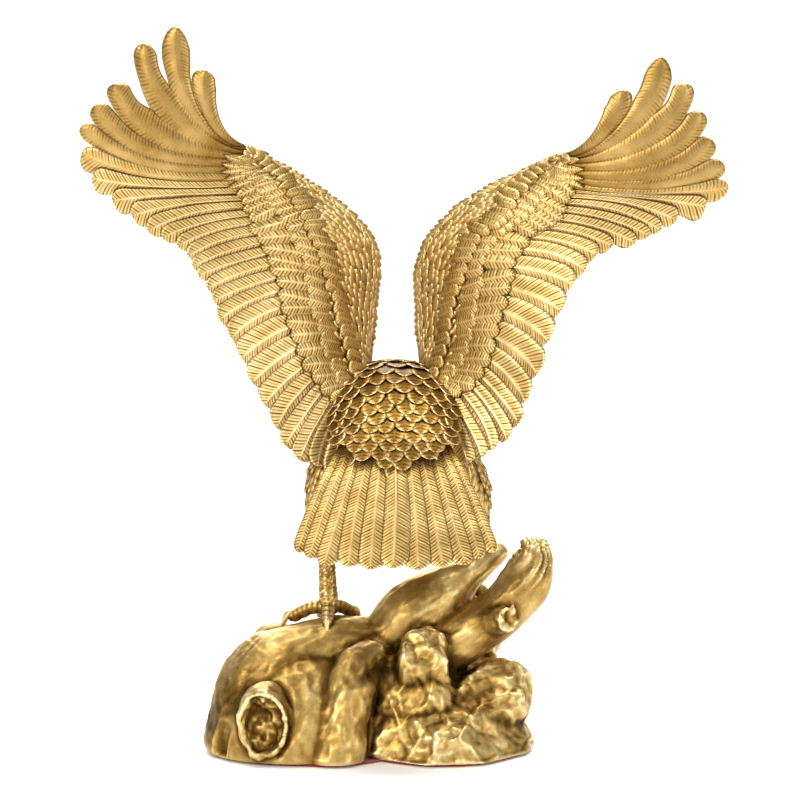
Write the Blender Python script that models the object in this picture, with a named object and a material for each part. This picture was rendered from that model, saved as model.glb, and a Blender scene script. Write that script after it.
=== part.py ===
# Brass eagle alighting on a tree root that grows over rocks, on a thin felt pad.
# The eagle faces -Y and its back is at +Y. All free forms are written in shares of the
# height: one design unit, u, is a millimetre when the ornament is 340 mm tall.

import math

import bpy
import bmesh
import numpy as np
from mathutils import Vector

# Driving dimensions, in metres
overall_height = 0.340       # underside of the felt to the highest wing finger
felt_thickness = 0.0010
felt_inset = 0.0020          # how far the felt stays inside the foot of the base
seat_gap = 0.0003            # clearance between pieces that touch
feather_edge = 0.0016        # metal left at the free edge of a flight feather
feather_step = 0.0011        # how far one feather stands over the next
covert_step = 0.0012         # how far a row of coverts stands over the row below
tail_thickness = 0.0026
scale_relief = 0.0009        # how far the body's small feathers stand out
beak_length = 0.018
shank_radius = 0.0042        # the bare leg above the foot
toe_radius = 0.0034
claw_length = 0.011
felt_corners = 28            # corners of the felt's cut outline

u = overall_height / 340.0
base_underside = felt_thickness + seat_gap

# Wing layout, in design units. Each row is one station along the wing, from the body out:
# share of the span, leading edge x y z, feather tip x y z, the angles at which the feather
# line leaves the leading edge and reaches its tip (0 is outward and 90 is up), and the
# share of the feather by which the gap beside it is cut back.
left_wing = (
    (0.02, 18, -14, 176, 34, 16, 134, -60, -80, 0.05),
    (0.09, 17, -19, 184, 49, 18, 140, -38, -72, 0.06),
    (0.20, 16, -23, 196, 66, 20, 167, -8, -55, 0.07),
    (0.30, 15, -24, 212, 80, 22, 198, 8, -42, 0.06),
    (0.41, 14, -20, 229, 92, 22, 220, 14, -30, 0.05),
    (0.52, 19, -13, 244, 100, 22, 236, 8, -32, 0.05),
    (0.63, 34, -4, 259, 120, 24, 248, -3, -30, 0.05),
    (0.73, 49, 6, 270, 141, 29, 272, -6, 12, 0.05),
    (0.80, 59, 11, 276, 146, 33, 294, -6, 44, 0.06),
    (0.875, 65, 14, 280, 130, 36, 314, 2, 80, 0.13),
    (0.945, 69, 16, 283, 103, 38, 340, 6, 100, 0.22),
    (0.98, 72, 17, 285, 91, 36, 322, 8, 104, 0.28),
)
right_wing = (
    (0.02, -11, -14, 178, -31, 16, 138, -55, -79, 0.05),
    (0.10, -10, -19, 186, -44, 18, 144, -36, -72, 0.06),
    (0.22, -9, -23, 198, -59, 20, 168, -6, -60, 0.07),
    (0.30, -9, -24, 212, -69, 22, 197, 8, -46, 0.06),
    (0.38, -9, -20, 225, -80, 22, 222, 14, -34, 0.05),
    (0.46, -14, -13, 240, -90, 22, 236, 8, -32, 0.05),
    (0.54, -25, -4, 253, -107, 24, 242, 0, -32, 0.05),
    (0.66, -41, 4, 264, -128, 28, 253, -4, -24, 0.05),
    (0.74, -52, 9, 270, -148, 32, 268, -8, 10, 0.05),
    (0.82, -62, 13, 275, -140, 35, 289, -6, 56, 0.08),
    (0.90, -68, 15, 278, -128, 37, 314, 0, 86, 0.15),
    (0.94, -71, 16, 279, -116, 38, 326, 2, 94, 0.22),
    (0.98, -74, 17, 281, -99, 36, 312, 4, 94, 0.28),
)
left_feathers = 28
right_feathers = 25
fingers = 7                  # separated feathers at the wing tip
wing_camber = 9.0            # how far the back of the wing bulges, in design units

# Where the rows of coverts end, as shares of the feather line, along the span
covert_span = (0.00, 0.08, 0.19, 0.30, 0.41, 0.52, 0.63, 0.74, 0.82, 1.00)
greater_end = (0.30, 0.42, 0.54, 0.59, 0.57, 0.59, 0.44, 0.31, 0.24, 0.12)
median_end = (0.16, 0.20, 0.23, 0.27, 0.30, 0.32, 0.20, 0.10, 0.08, 0.05)

# The body, tail root to face: y, z, half width and half height, in design units
body_x = 3.5
body_stations = (
    (29, 142, 19, 7),
    (22, 147, 24, 12.5),
    (11, 152, 29, 19.5),
    (-4, 156, 31.5, 23.5),
    (-20, 158, 31, 23),
    (-35, 158, 27, 20.5),
    (-47, 158, 21, 18),
    (-57, 159, 17, 15.5),
    (-67, 160, 15.2, 13.5),
    (-77, 159.5, 13, 12),
    (-85, 157, 7.5, 8.5),
)
scale_rows = 7
scales_round = 10
rump_point = 14              # how far the back's lowest feathers reach over the tail

# The tail fan, in design units
tail_feathers = 12
tail_root_y, tail_root_z = 26, 150
tail_tip_y, tail_tip_z = 63, 97
tail_root_half, tail_tip_half = 22, 49

# The base, in design units: limbs are points of x, y, z and radius
limbs = (
    ("log", ((68, 14, 10, 24), (62, 10, 30, 24), (50, 6, 39, 20.5), (32, 3, 47, 15.5),
             (10, 0, 49, 13), (-3, -2, 62, 15), (-16, -5, 70, 14), (-28, -8, 78, 9.5),
             (-38, -11, 85, 6.2), (-46, -13, 89.5, 5.2), (-50.5, -14, 90.5, 2.4))),
    ("near_root", ((14, 12, 46, 9), (23, 27, 38, 11), (28, 34, 20, 12.5), (32, 36, -4, 15))),
    ("far_root", ((34, -4, 40, 13), (40, -20, 30, 13), (46, -30, 12, 13), (48, -33, -4, 15))),
    ("stump", ((-8, 2, 36, 14), (-25, 4, 50, 12.5), (-45, 5, 64, 11.8), (-58, 5, 79, 12),
               (-61, 4, 92, 8.6), (-60, 4, 97, 5.2))),
    ("cut_stub", ((-41, 9, 61, 8), (-46, 15, 63.5, 6.4), (-50, 21, 64.7, 5.8))),
    ("perch", ((-2, -14, 42, 15), (-18, -20, 50, 14), (-33, -23, 53.5, 13), (-46, -19, 48, 11))),
)
# masses are a centre, half sizes, a turn in radians and the planes that face them off
masses = (
    ("root_mass", (50, 15, 2), (43, 32, 47), 0.0, ()),
    ("knot", (63, 38, 21), (15, 17, 20), 0.0, (((0.12, 1, 0.05), 0.72),)),
    ("shoulder", (60, -8, 40), (15, 15, 17), 0.0, ()),
    ("heart", (14, 2, 24), (40, 24, 30), 0.0, ()),
    ("great_rock", (-20, 24, 8), (41, 28, 28), 0.12,
     (((0.15, 0.6, 1), 0.66), ((1, 0.9, 0.4), 0.7), ((-1, 0.9, 0.5), 0.7), ((0, 1, -0.1), 0.86))),
    ("middle_rock", (-6, 17, 29), (25, 20, 22), -0.2, (((0.3, 1, 0.5), 0.7), ((-1, 0.3, 0.5), 0.75))),
    ("pinnacle", (-11, 21, 45), (16, 13, 16.5), 0.4, (((0.3, 0.8, 0.7), 0.7), ((-1, 0.5, 0.2), 0.72))),
    ("corner_rock", (-41, 12, 26), (22, 18, 19), -0.2,
     (((-0.3, 0.7, 0.7), 0.62), ((-1, 0.1, 0.15), 0.84), ((0.5, 0, 1), 0.7))),
    ("low_rock", (-49, 13, 4), (13, 15, 12), 0.0, ()),
    ("front_rock", (-16, -27, 18), (36, 21, 30), -0.1,
     (((0.2, -0.6, 1), 0.65), ((-1, -0.8, 0.3), 0.7), ((1, -0.8, 0.3), 0.72))),
    ("foot_rock", (-24, -4, 0), (40, 30, 16), 0.0, ()),
    ("front_corner", (18, -27, 12), (26, 20, 24), 0.3, (((0.4, -0.7, 0.6), 0.65), ((-0.6, -1, 0.2), 0.7))),
)
knot_hollow = ((64, 51, 21), (9.5, 11, 14))


def smooth_through(knots, rows, at):
    """Cubic Hermite interpolation of rows of values, with finite-difference slopes."""
    knots, rows, at = (np.asarray(a, float) for a in (knots, rows, at))
    gaps = np.diff(knots)[:, None]
    chords = np.diff(rows, axis=0) / gaps
    slopes = np.vstack([chords[:1], (chords[1:] * gaps[:-1] + chords[:-1] * gaps[1:])
                        / (gaps[1:] + gaps[:-1]), chords[-1:]])
    i = np.clip(np.searchsorted(knots, at) - 1, 0, len(knots) - 2)
    h = gaps[i]
    t = ((at - knots[i]) / h[:, 0])[:, None]
    return ((1 + 2 * t) * (1 - t) ** 2 * rows[i] + t * (1 - t) ** 2 * h * slopes[i]
            + t * t * (3 - 2 * t) * rows[i + 1] + t * t * (t - 1) * h * slopes[i + 1])


def new_object(name, mesh, collection, helper=False):
    obj = bpy.data.objects.new(name, mesh)
    collection.objects.link(obj)
    if helper:
        obj.hide_render = True
        obj.display_type = "WIRE"
    return obj


def zip_ring(ring):
    """Triangles that fill a ring from its first point: the two sides are joined by
    whichever of the next two rungs is shorter, so a long bent ring fills cleanly."""
    near, far, faces = 0, len(ring) - 1, []
    while far - near > 1:
        if (np.linalg.norm(ring[near + 1] - ring[far])
                < np.linalg.norm(ring[near] - ring[far - 1])):
            faces.append((near, near + 1, far))
            near += 1
        else:
            faces.append((near, far - 1, far))
            far -= 1
    return faces


def loft(name, rings, collection):
    """A closed skin over closed rings of equal count."""
    rings = np.asarray(rings, float) * u
    count, around = rings.shape[:2]
    shape = bmesh.new()
    verts = [[shape.verts.new(p) for p in ring] for ring in rings]
    for i in range(count - 1):
        for j in range(around):
            k = (j + 1) % around
            shape.faces.new((verts[i][j], verts[i][k], verts[i + 1][k], verts[i + 1][j]))
    for end in (0, -1):
        for face in zip_ring(rings[end]):
            shape.faces.new([verts[end][k] for k in face])
    bmesh.ops.triangulate(shape, faces=shape.faces[:])
    bmesh.ops.recalc_face_normals(shape, faces=shape.faces[:])
    mesh = bpy.data.meshes.new(name)
    shape.to_mesh(mesh)
    shape.free()
    return new_object(name, mesh, collection, helper=True)


def tube(name, points, collection, sides=8, samples=8):
    """A round limb through points of x, y, z and radius, as a bevelled curve made a mesh."""
    points = np.asarray(points, float)
    knots = np.linspace(0, 1, len(points))
    path = smooth_through(knots, points, np.linspace(0, 1, samples))
    curve = bpy.data.curves.new(name, "CURVE")
    curve.dimensions = "3D"
    curve.bevel_depth = u
    curve.bevel_resolution = sides // 2 - 2
    curve.use_fill_caps = True
    spline = curve.splines.new("POLY")
    spline.points.add(samples - 1)
    for point, (x, y, z, radius) in zip(spline.points, path):
        point.co = (x * u, y * u, z * u, 1)
        point.radius = radius
    guide = new_object(name + "_path", curve, collection)
    evaluated = guide.evaluated_get(bpy.context.evaluated_depsgraph_get())
    mesh = bpy.data.meshes.new_from_object(evaluated)
    bpy.data.objects.remove(guide)
    shape = bmesh.new()
    shape.from_mesh(mesh)
    bmesh.ops.remove_doubles(shape, verts=shape.verts[:], dist=1e-6)
    bmesh.ops.recalc_face_normals(shape, faces=shape.faces[:])
    shape.to_mesh(mesh)
    shape.free()
    return new_object(name, mesh, collection, helper=True)


def lump(name, centre, half, collection, cuts=(), turn=0.0):
    """A rock or muscle: a small icosphere stretched to half sizes and cut flat by planes,
    each a direction and the share of the size at which it cuts."""
    shape = bmesh.new()
    bmesh.ops.create_icosphere(shape, subdivisions=2, radius=1.0)
    for vert in shape.verts:
        for direction, reach in cuts:
            normal = Vector(direction).normalized()
            over = vert.co.dot(normal) - reach
            if over > 0:
                vert.co -= normal * over * 0.94
        x, y, z = vert.co.x * half[0], vert.co.y * half[1], vert.co.z * half[2]
        c, s = math.cos(turn), math.sin(turn)
        vert.co = ((centre[0] + x * c - y * s) * u, (centre[1] + x * s + y * c) * u,
                   (centre[2] + z) * u)
    mesh = bpy.data.meshes.new(name)
    shape.to_mesh(mesh)
    shape.free()
    return new_object(name, mesh, collection, helper=True)


def join(name, collection, forms, cutters=()):
    """One solid: a Boolean union of the forms, less the cutters."""
    first = forms[0]
    obj = new_object(name, first.data.copy(), collection)
    pool = bpy.data.collections.new(name + "_forms")
    helpers.children.link(pool)
    for form in forms[1:]:
        pool.objects.link(form)
    union = obj.modifiers.new("union", "BOOLEAN")
    union.operation = "UNION"
    union.solver = "EXACT"
    union.operand_type = "COLLECTION"
    union.collection = pool
    for cutter in cutters:
        cut = obj.modifiers.new("cut", "BOOLEAN")
        cut.operation = "DIFFERENCE"
        cut.solver = "EXACT"
        cut.object = cutter
    return obj


def baked(obj, name):
    """A copy of an object with its modifiers applied, as a hidden helper."""
    evaluated = obj.evaluated_get(bpy.context.evaluated_depsgraph_get())
    return new_object(name, bpy.data.meshes.new_from_object(evaluated), helpers, helper=True)


def brass(name, colour, roughness):
    material = bpy.data.materials.new(name)
    material.use_nodes = True
    shader = material.node_tree.nodes["Principled BSDF"]
    shader.inputs["Base Color"].default_value = (*colour, 1)
    shader.inputs["Metallic"].default_value = 1.0
    shader.inputs["Roughness"].default_value = roughness
    return material


def feather_line(stations, span, share):
    """Points of the wing's back, in design units, at pairs of span and share of the line.
    In the plane of the wing a line is a cubic Hermite from the leading edge to the tip."""
    stations = np.asarray(stations, float)
    row = smooth_through(stations[:, 0], stations[:, 1:], span)
    lead, tip = row[:, [0, 2]], row[:, [3, 5]]
    out = np.sign(stations[-1, 4])
    reach = np.linalg.norm(tip - lead, axis=1)
    leave, arrive = np.radians(row[:, 6]), np.radians(row[:, 7])
    start = np.stack([out * np.cos(leave), np.sin(leave)], 1) * reach[:, None]
    end = np.stack([out * np.cos(arrive), np.sin(arrive)], 1) * reach[:, None]
    t = share[:, None]
    flat = ((1 + 2 * t) * (1 - t) ** 2 * lead + t * (1 - t) ** 2 * start
            + t * t * (3 - 2 * t) * tip + t * t * (t - 1) * end)
    bulge = wing_camber * np.sin(np.pi * np.clip(share, 0, 1) ** 0.75)
    depth = row[:, 1] * (1 - share) + row[:, 4] * share + bulge
    return np.stack([flat[:, 0], depth, flat[:, 1]], 1)


def wing_columns(feathers):
    """Span position, feather centre, position across its feather (0 to 1) for each column."""
    columns = []
    for i in range(feathers):
        finger = i >= feathers - fingers
        across = (0.02, 0.22, 0.5, 0.78, 0.98) if finger else (0.03, 0.5, 0.97)
        columns += [((i + a) / feathers, (i + 0.5) / feathers, a, finger) for a in across]
    return columns


def wing(name, stations, feathers, collection):
    """The wing as one closed loft. Each ring runs down one feather line on the back, over
    the rows of coverts and the flight feather, round its tip and back along the front."""
    gaps = [(row[0], row[9]) for row in stations]
    step, covert, edge = feather_step / u, covert_step / u, feather_edge / u
    rings = []
    for span, centre, across, finger in wing_columns(feathers):

        def line(share):
            points = feather_line(stations, np.full(len(share), span), share)
            if finger:
                middle = feather_line(stations, np.full(len(share), centre), share)
                aside = points - middle
                most = np.interp(share, (0.0, 0.6, 0.93, 1.0), (30.0, 7.0, 5.0, 2.4))
                most = np.where(0.1 < across < 0.9, most, 30.0)
                length = np.maximum(np.linalg.norm(aside, axis=1), 1e-6)
                points = middle + aside * np.minimum(1, most / length)[:, None]
            return points

        greater = np.interp(span, covert_span, greater_end)
        median = np.interp(span, covert_span, median_end)
        calm = np.interp(span, (0.0, 0.7, 1.0), (1.0, 1.0, 0.4))
        rise = step * min(1.0, across * 1.6)
        bow = 1 - abs(2 * across - 1)
        gap = np.interp(span, *zip(*gaps))
        tip = 1 - gap * ((1 - bow) ** 3.0 if finger else 1 - bow ** 0.5)
        reach, scallop, flight = (1 - gap, 0.3, (0.5, 0.95)) if finger else (tip, bow, (0.45, 0.78))
        greater_tip = greater + 0.045 * scallop
        median_tip = median + 0.035 * scallop
        share = np.array([
            0.0, median * 0.5, median_tip, median_tip + 0.012, greater_tip, greater_tip + 0.012,
            greater + (reach - greater) * flight[0], greater + (reach - greater) * flight[1], tip])
        lift = np.array([
            covert * 2, covert * 2 + rise * 0.6, covert * 2.2 + rise * 0.7,
            covert + rise * 0.4, covert * 1.3 + rise, rise * 0.7, rise, rise, rise * 0.8])
        lift[:6] *= calm
        back = line(share)
        back[:, 1] += lift
        front = line(np.array([tip, greater + (reach - greater) * 0.4, 0.09]))
        arm = 12.0 * np.interp(span, (0, 0.5, 1), (1.15, 1.0, 0.5))
        front[:, 1] -= (edge, edge + 1.6, arm)
        rings.append(np.vstack([back, front]))
    return loft(name, rings, collection)


def tail(name, collection):
    """The fanned tail: a closed loft of columns from feather to feather, the middle on top."""
    step, thick = feather_step / u, tail_thickness / u
    rings = []
    for i in range(tail_feathers):
        for across in (0.04, 0.5, 0.96):
            side = 2 * (i + across) / tail_feathers - 1
            bow = 1 - abs(2 * across - 1)
            order = 1 - abs(side)
            inner = across if side < 0 else 1 - across
            reach = 1.0 - 0.10 * abs(side) ** 2.4 - 0.045 * (1 - bow ** 0.5)
            share = np.array([0.0, 0.5, reach])
            half = tail_root_half + (tail_tip_half - tail_root_half) * share ** 0.9
            x = body_x + side * half
            y = tail_root_y + (tail_tip_y - tail_root_y) * share - 5 * abs(side) ** 2
            z = tail_root_z + (tail_tip_z - tail_root_z) * share + 3 * np.sin(np.pi * share)
            lift = step * (0.5 + inner) + 2.0 * order
            top = np.stack([x, y + lift, z + lift * 0.6], 1)
            under = np.stack([x, y + lift - thick, z + lift * 0.6 - thick * 0.6], 1)
            under[0] -= (0, 2.0, 2.0)
            rings.append(np.vstack([top, under[::-1]]))
    return loft(name, rings, collection)


def body(name, collection):
    """The trunk, neck and head: rings across a bent spine. The rings come in pairs, one at
    the root of a row of small feathers and one at its tips, which stand out in scallops."""
    stations = np.asarray(body_stations, float)
    along = np.linspace(0, 1, len(stations))
    around = 2 * scales_round
    shares = [0.0]
    for row in range(scale_rows):
        start, end = (np.array([row, row + 1]) / scale_rows) * 0.86 + 0.04
        shares += [start + (end - start) * 0.08, end]
    shares += [0.93, 0.965, 1.0]
    rings = []
    for k, share in enumerate(shares):
        y, z, wide, high = smooth_through(along, stations, [share])[0]
        ahead = smooth_through(along, stations, [min(1.0, share + 0.02)])[0]
        behind = smooth_through(along, stations, [max(0.0, share - 0.02)])[0]
        lean = math.atan2(ahead[1] - behind[1], behind[0] - ahead[0])
        row, at_tip = divmod(k - 1, 2)
        in_rows = 0 <= row < scale_rows and k > 0
        ring = []
        for j in range(around):
            angle = 2 * math.pi * j / around
            peak = (j + row) % 2 == 0
            out = scale_relief / u * (1.0 if peak else 0.35) * (0 if at_tip else 1) * in_rows
            slide = -1.6 if in_rows and peak and not at_tip else 0.0
            across = (wide + out) * math.sin(angle)
            up = (high + out) * math.cos(angle)
            slide -= rump_point * max(0.0, math.cos(angle)) ** 3 * (1 - share) ** 2
            ring.append((body_x + across, y + up * math.sin(lean) - slide * math.cos(lean),
                         z + up * math.cos(lean) + slide * math.sin(lean)))
        rings.append(ring)
    return loft(name, rings, collection)


def beak(name, collection):
    """A hooked beak: five-point rings along an arc that turns down at the end."""
    length = beak_length / u
    rings = []
    for share, width, height in ((0, 5.2, 6.4), (0.35, 4.4, 5.6), (0.7, 3.0, 4.4), (0.95, 1.4, 2.6),
                                 (1.1, 0.5, 1.0)):
        bend = math.radians(78) * share ** 1.8
        y = -79 - length * share * math.cos(bend * 0.55)
        z = 157.5 - length * 0.62 * share ** 2.2
        ring = []
        for j in range(8):
            angle = 2 * math.pi * j / 8
            up = height * math.cos(angle)
            ring.append((body_x + width * math.sin(angle), y - up * math.sin(bend) * 0.6,
                         z + up * math.cos(bend)))
        rings.append(ring)
    return loft(name, rings, collection)


def thigh(name, points, collection):
    """Trouser feathers: a ring-by-ring limb whose rows of tufts end in raised points."""
    around, rows = 10, 4
    points = np.asarray(points, float)
    rings = []
    for k in range(2 * rows + 1):
        share = k / (2 * rows)
        x, y, z, radius = smooth_through(np.linspace(0, 1, len(points)), points, [share])[0]
        ring = []
        for j in range(around):
            angle = 2 * math.pi * j / around
            at_tip = k % 2 == 1
            out = 1.1 * at_tip * (1.0 if (j + k // 2) % 2 else 0.4)
            drop = 2.0 * at_tip * ((j + k // 2) % 2)
            ring.append((x + (radius + out) * math.cos(angle),
                         y + (radius + out) * 1.15 * math.sin(angle), z - drop))
        rings.append(ring)
    return loft(name, rings, collection)


def foot(side, ankle, sole, toes, collection):
    """A bare shank and four toes, each toe a bent limb that ends in a tapered claw."""
    shank, toe = shank_radius / u, toe_radius / u
    claw = claw_length / u
    sx, sy, sz = sole
    forms = [tube(f"{side}_shank", ((*ankle, shank * 1.25), (*(0.5 * (np.array(ankle) + sole)), shank),
                                    (sx, sy, sz + 3, shank * 1.1)), collection, samples=4)]
    for number, (dx, dy, reach, drop, curl) in enumerate(toes):
        ahead = np.array((dx, dy)) / math.hypot(dx, dy)
        knuckle = np.array((sx, sy)) + ahead * reach * 0.45
        end = np.array((sx, sy)) + ahead * reach
        tip = end + ahead * claw * curl
        forms.append(tube(f"{side}_toe_{number}", (
            (sx, sy, sz + 2.0, toe * 1.05), (*knuckle, sz + 3.2 - drop * 0.25, toe),
            (*end, sz + 1.0 - drop, toe * 0.9), (*(end + ahead * 1.5), sz - 0.5 - drop, toe * 0.55)),
            collection, sides=6, samples=4))
        forms.append(tube(f"{side}_claw_{number}", (
            (*(end - ahead * 0.6), sz + 2.0 - drop, toe * 0.72),
            (*(end * 0.4 + tip * 0.6), sz + 0.6 - drop, toe * 0.5),
            (*tip, sz - claw * (1.02 - curl) - drop, toe * 0.12)), collection, sides=4, samples=3))
    return forms


def root_and_rocks(name, collection):
    """The base: a root with two broken branches, a hollow knot and a cut stub, over rocks."""
    forms = [tube(part, limb, forms_pool, sides=8, samples=len(limb))
             for part, limb in limbs]
    forms += [lump(part, centre, half, forms_pool, cuts, turn)
              for part, centre, half, turn, cuts in masses]
    centre, half = knot_hollow
    hollow = lump("knot_hollow", centre, half, helpers)
    below = new_object("ground_cutter", bpy.data.meshes.new("ground_cutter"), helpers, helper=True)
    shape = bmesh.new()
    bmesh.ops.create_cube(shape, size=1.0)
    for vert in shape.verts:
        vert.co = (vert.co.x * 400 * u, vert.co.y * 400 * u,
                   base_underside + (vert.co.z - 0.5) * 100 * u)
    shape.to_mesh(below.data)
    shape.free()
    return join(name, collection, forms, (hollow, below))


def felt(name, foot, collection):
    """The felt: the outline of the foot's flat underside, taken from its middle in even
    steps of angle, cut without sharp corners inside that edge and given its thickness."""
    mesh = foot.evaluated_get(bpy.context.evaluated_depsgraph_get()).data
    corners = np.array([v.co for v in mesh.vertices])
    edges = np.array([e.vertices for e in mesh.edges])
    edges = edges[(corners[edges][:, :, 2] < base_underside + 1e-5).all(1)]
    a, b = corners[edges[:, 0], :2], corners[edges[:, 1], :2]
    middle = corners[edges.ravel(), :2].mean(0)
    curve = bpy.data.curves.new(name, "CURVE")
    curve.dimensions = "2D"
    curve.fill_mode = "BOTH"
    curve.extrude = felt_thickness / 2
    outline = curve.splines.new("POLY")
    outline.points.add(felt_corners - 1)
    outline.use_cyclic_u = True
    rays, edge = [], []
    for angle in np.arange(felt_corners) * 2 * math.pi / felt_corners:
        ray = np.array((math.cos(angle), math.sin(angle)))
        along = b - a
        cross = ray[0] * along[:, 1] - ray[1] * along[:, 0]
        cross = np.where(np.abs(cross) < 1e-12, 1e-12, cross)
        start = a - middle
        reach = (start[:, 0] * along[:, 1] - start[:, 1] * along[:, 0]) / cross
        share = (start[:, 0] * ray[1] - start[:, 1] * ray[0]) / cross
        rays.append(ray)
        edge.append(reach[(share >= 0) & (share <= 1) & (reach > 0)].max())
    edge = np.minimum(edge, (np.roll(edge, 1) + np.roll(edge, -1)) / 2 + felt_inset)
    for point, ray, reach in zip(outline.points, rays, edge):
        point.co = (*(middle + ray * (reach - felt_inset)), 0, 1)
    pad = new_object(name, curve, collection)
    pad.location.z = felt_thickness / 2
    return pad


def clear_scene():
    for obj in list(bpy.data.objects):
        bpy.data.objects.remove(obj)


clear_scene()
eagle_collection = bpy.data.collections.new("brass_eagle_ornament")
helpers = bpy.data.collections.new("cutters")
bpy.context.scene.collection.children.link(eagle_collection)
bpy.context.scene.collection.children.link(helpers)
forms_pool = bpy.data.collections.new("forms")
helpers.children.link(forms_pool)

# Base
base = root_and_rocks("root_and_rock_base", eagle_collection)
base.data.materials.append(brass("aged_brass", (0.50, 0.34, 0.12), 0.38))

# Eagle
left_toes = ((1, -0.15, 17, 3, 0.5), (0.25, -1, 15, 4, 0.5), (-0.9, -0.7, 13, 2, 0.5),
             (0.05, 1, 10, 3, 0.25))
right_toes = ((-1, -0.4, 13, 5, 0.5), (-0.25, -1, 15, 7, 0.5), (0.9, -0.6, 14, 3, 0.5),
              (0.2, 1, 9, 3, 0.3))
left_sole = (35, 1, 63.5)
right_sole = (-31, -24, 68.0)
eagle_forms = [
    body("trunk", forms_pool),
    wing("left_wing", left_wing, left_feathers, forms_pool),
    wing("right_wing", right_wing, right_feathers, forms_pool),
    tail("tail_fan", forms_pool),
    beak("beak", forms_pool),
    thigh("left_thigh", ((20, -4, 146, 15), (30, -4, 134, 14), (36, -3, 120, 9.5), (37, -2, 106, 6.5)),
          forms_pool),
    thigh("right_thigh", ((-14, -8, 146, 15), (-24, -10, 134, 14), (-32, -13, 120, 10),
                          (-34, -16, 108, 6.5)), forms_pool),
    *foot("left", (37, -2, 110), left_sole, left_toes, forms_pool),
    *foot("right", (-34, -17, 112), right_sole, right_toes, forms_pool),
]
seat = baked(base, "seat_cutter")
swell = seat.modifiers.new("clearance", "DISPLACE")
swell.strength = seat_gap
swell.mid_level = 0.0
eagle = join("eagle", eagle_collection, eagle_forms, (seat,))
eagle.data.materials.append(brass("bright_brass", (0.62, 0.42, 0.15), 0.33))

# Felt
pad = felt("felt_pad", base, eagle_collection)
red = bpy.data.materials.new("red_felt")
red.use_nodes = True
red.node_tree.nodes["Principled BSDF"].inputs["Base Color"].default_value = (0.35, 0.02, 0.03, 1)
red.node_tree.nodes["Principled BSDF"].inputs["Roughness"].default_value = 0.95
pad.data.materials.append(red)
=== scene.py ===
import bpy
import math
import numpy as np
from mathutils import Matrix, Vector


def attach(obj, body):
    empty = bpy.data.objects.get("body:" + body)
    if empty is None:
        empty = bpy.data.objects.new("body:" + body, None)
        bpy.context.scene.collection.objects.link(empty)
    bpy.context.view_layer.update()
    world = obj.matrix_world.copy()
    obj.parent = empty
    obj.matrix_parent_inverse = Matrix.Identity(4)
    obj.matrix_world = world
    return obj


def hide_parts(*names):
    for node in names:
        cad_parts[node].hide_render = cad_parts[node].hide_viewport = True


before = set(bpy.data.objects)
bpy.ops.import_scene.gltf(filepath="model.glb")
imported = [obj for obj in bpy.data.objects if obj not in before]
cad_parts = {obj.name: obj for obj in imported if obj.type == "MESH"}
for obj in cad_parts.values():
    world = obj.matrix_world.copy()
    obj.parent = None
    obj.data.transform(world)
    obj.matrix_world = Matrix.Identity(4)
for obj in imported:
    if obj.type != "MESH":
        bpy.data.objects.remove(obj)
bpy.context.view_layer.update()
print("frame loaded")

# Every table and size below is in millimetres, in the frame's own axes. The camera looks at
# the eagle's back, so the picture's left is +x, the back is +y and up is +z.
millimetre = 0.001


# Shapes: noise, sheets and feathers

def smoothThrough(knots, rows, at):
    # cubic Hermite through rows of values, each slope the mean of the chords beside it
    knots, rows, at = np.asarray(knots, float), np.asarray(rows, float), np.asarray(at, float)
    gaps = np.diff(knots)[:, None]
    chords = np.diff(rows, axis=0) / gaps
    inner = (chords[:-1] * gaps[1:] + chords[1:] * gaps[:-1]) / (gaps[1:] + gaps[:-1])
    slopes = np.vstack([chords[:1], inner, chords[-1:]])
    flat = at.ravel()
    i = np.clip(np.searchsorted(knots, flat) - 1, 0, len(knots) - 2)
    h = gaps[i]
    t = ((flat - knots[i]) / h[:, 0])[:, None]
    found = ((1 + 2 * t) * (1 - t) ** 2 * rows[i] + t * (1 - t) ** 2 * h * slopes[i]
             + t * t * (3 - 2 * t) * rows[i + 1] + t * t * (t - 1) * h * slopes[i + 1])
    return found.reshape(at.shape + (rows.shape[1],))


def runAlong(line):
    # how far along a line of points each one is, from its start
    return np.concatenate([[0], np.cumsum(np.linalg.norm(np.diff(line, axis=0), axis=1))])


def latticeValue(cell, seed):
    # a fixed whole-number hash of a lattice cell, as a value from 0 to 1
    h = (cell[..., 0] * 73856093) ^ (cell[..., 1] * 19349663) ^ (cell[..., 2] * 83492791) ^ (seed * 2654435)
    h = (h ^ (h >> 13)) * 1274126177 & 0xFFFFFFFF
    h = (h ^ (h >> 16)) * 668265263 & 0xFFFFFFFF
    return ((h >> 8) & 0xFFFF) / 65535.0


def swell(points, size, seed=0):
    # soft noise from -1 to 1: lattice values blended with the 3t^2 - 2t^3 fade, size in mm
    p = points / size
    cell = np.floor(p).astype(np.int64)
    f = p - cell
    f = f * f * (3 - 2 * f)
    total = 0.0
    for corner in np.ndindex(2, 2, 2):
        weight = np.prod(np.where(corner, f, 1 - f), axis=-1)
        total = total + weight * latticeValue(cell + np.array(corner), seed)
    return total * 2 - 1


def facets(points, size, seed=0):
    # chipped noise from -1 to 1: lattice values joined straight across the six tetrahedra of
    # each cell, so it is flat in patches with sharp edges between them, size in mm
    p = points / size
    cell = np.floor(p).astype(np.int64)
    f = p - cell
    order = np.argsort(-f, axis=-1)
    falling = np.take_along_axis(f, order, -1)
    share = 1 - falling[..., 0]
    total = share * latticeValue(cell, seed)
    for k in range(3):
        cell = cell + np.eye(3, dtype=np.int64)[order[..., k]]
        share = falling[..., k] - (falling[..., k + 1] if k < 2 else 0)
        total = total + share * latticeValue(cell, seed)
    return total * 2 - 1


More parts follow.
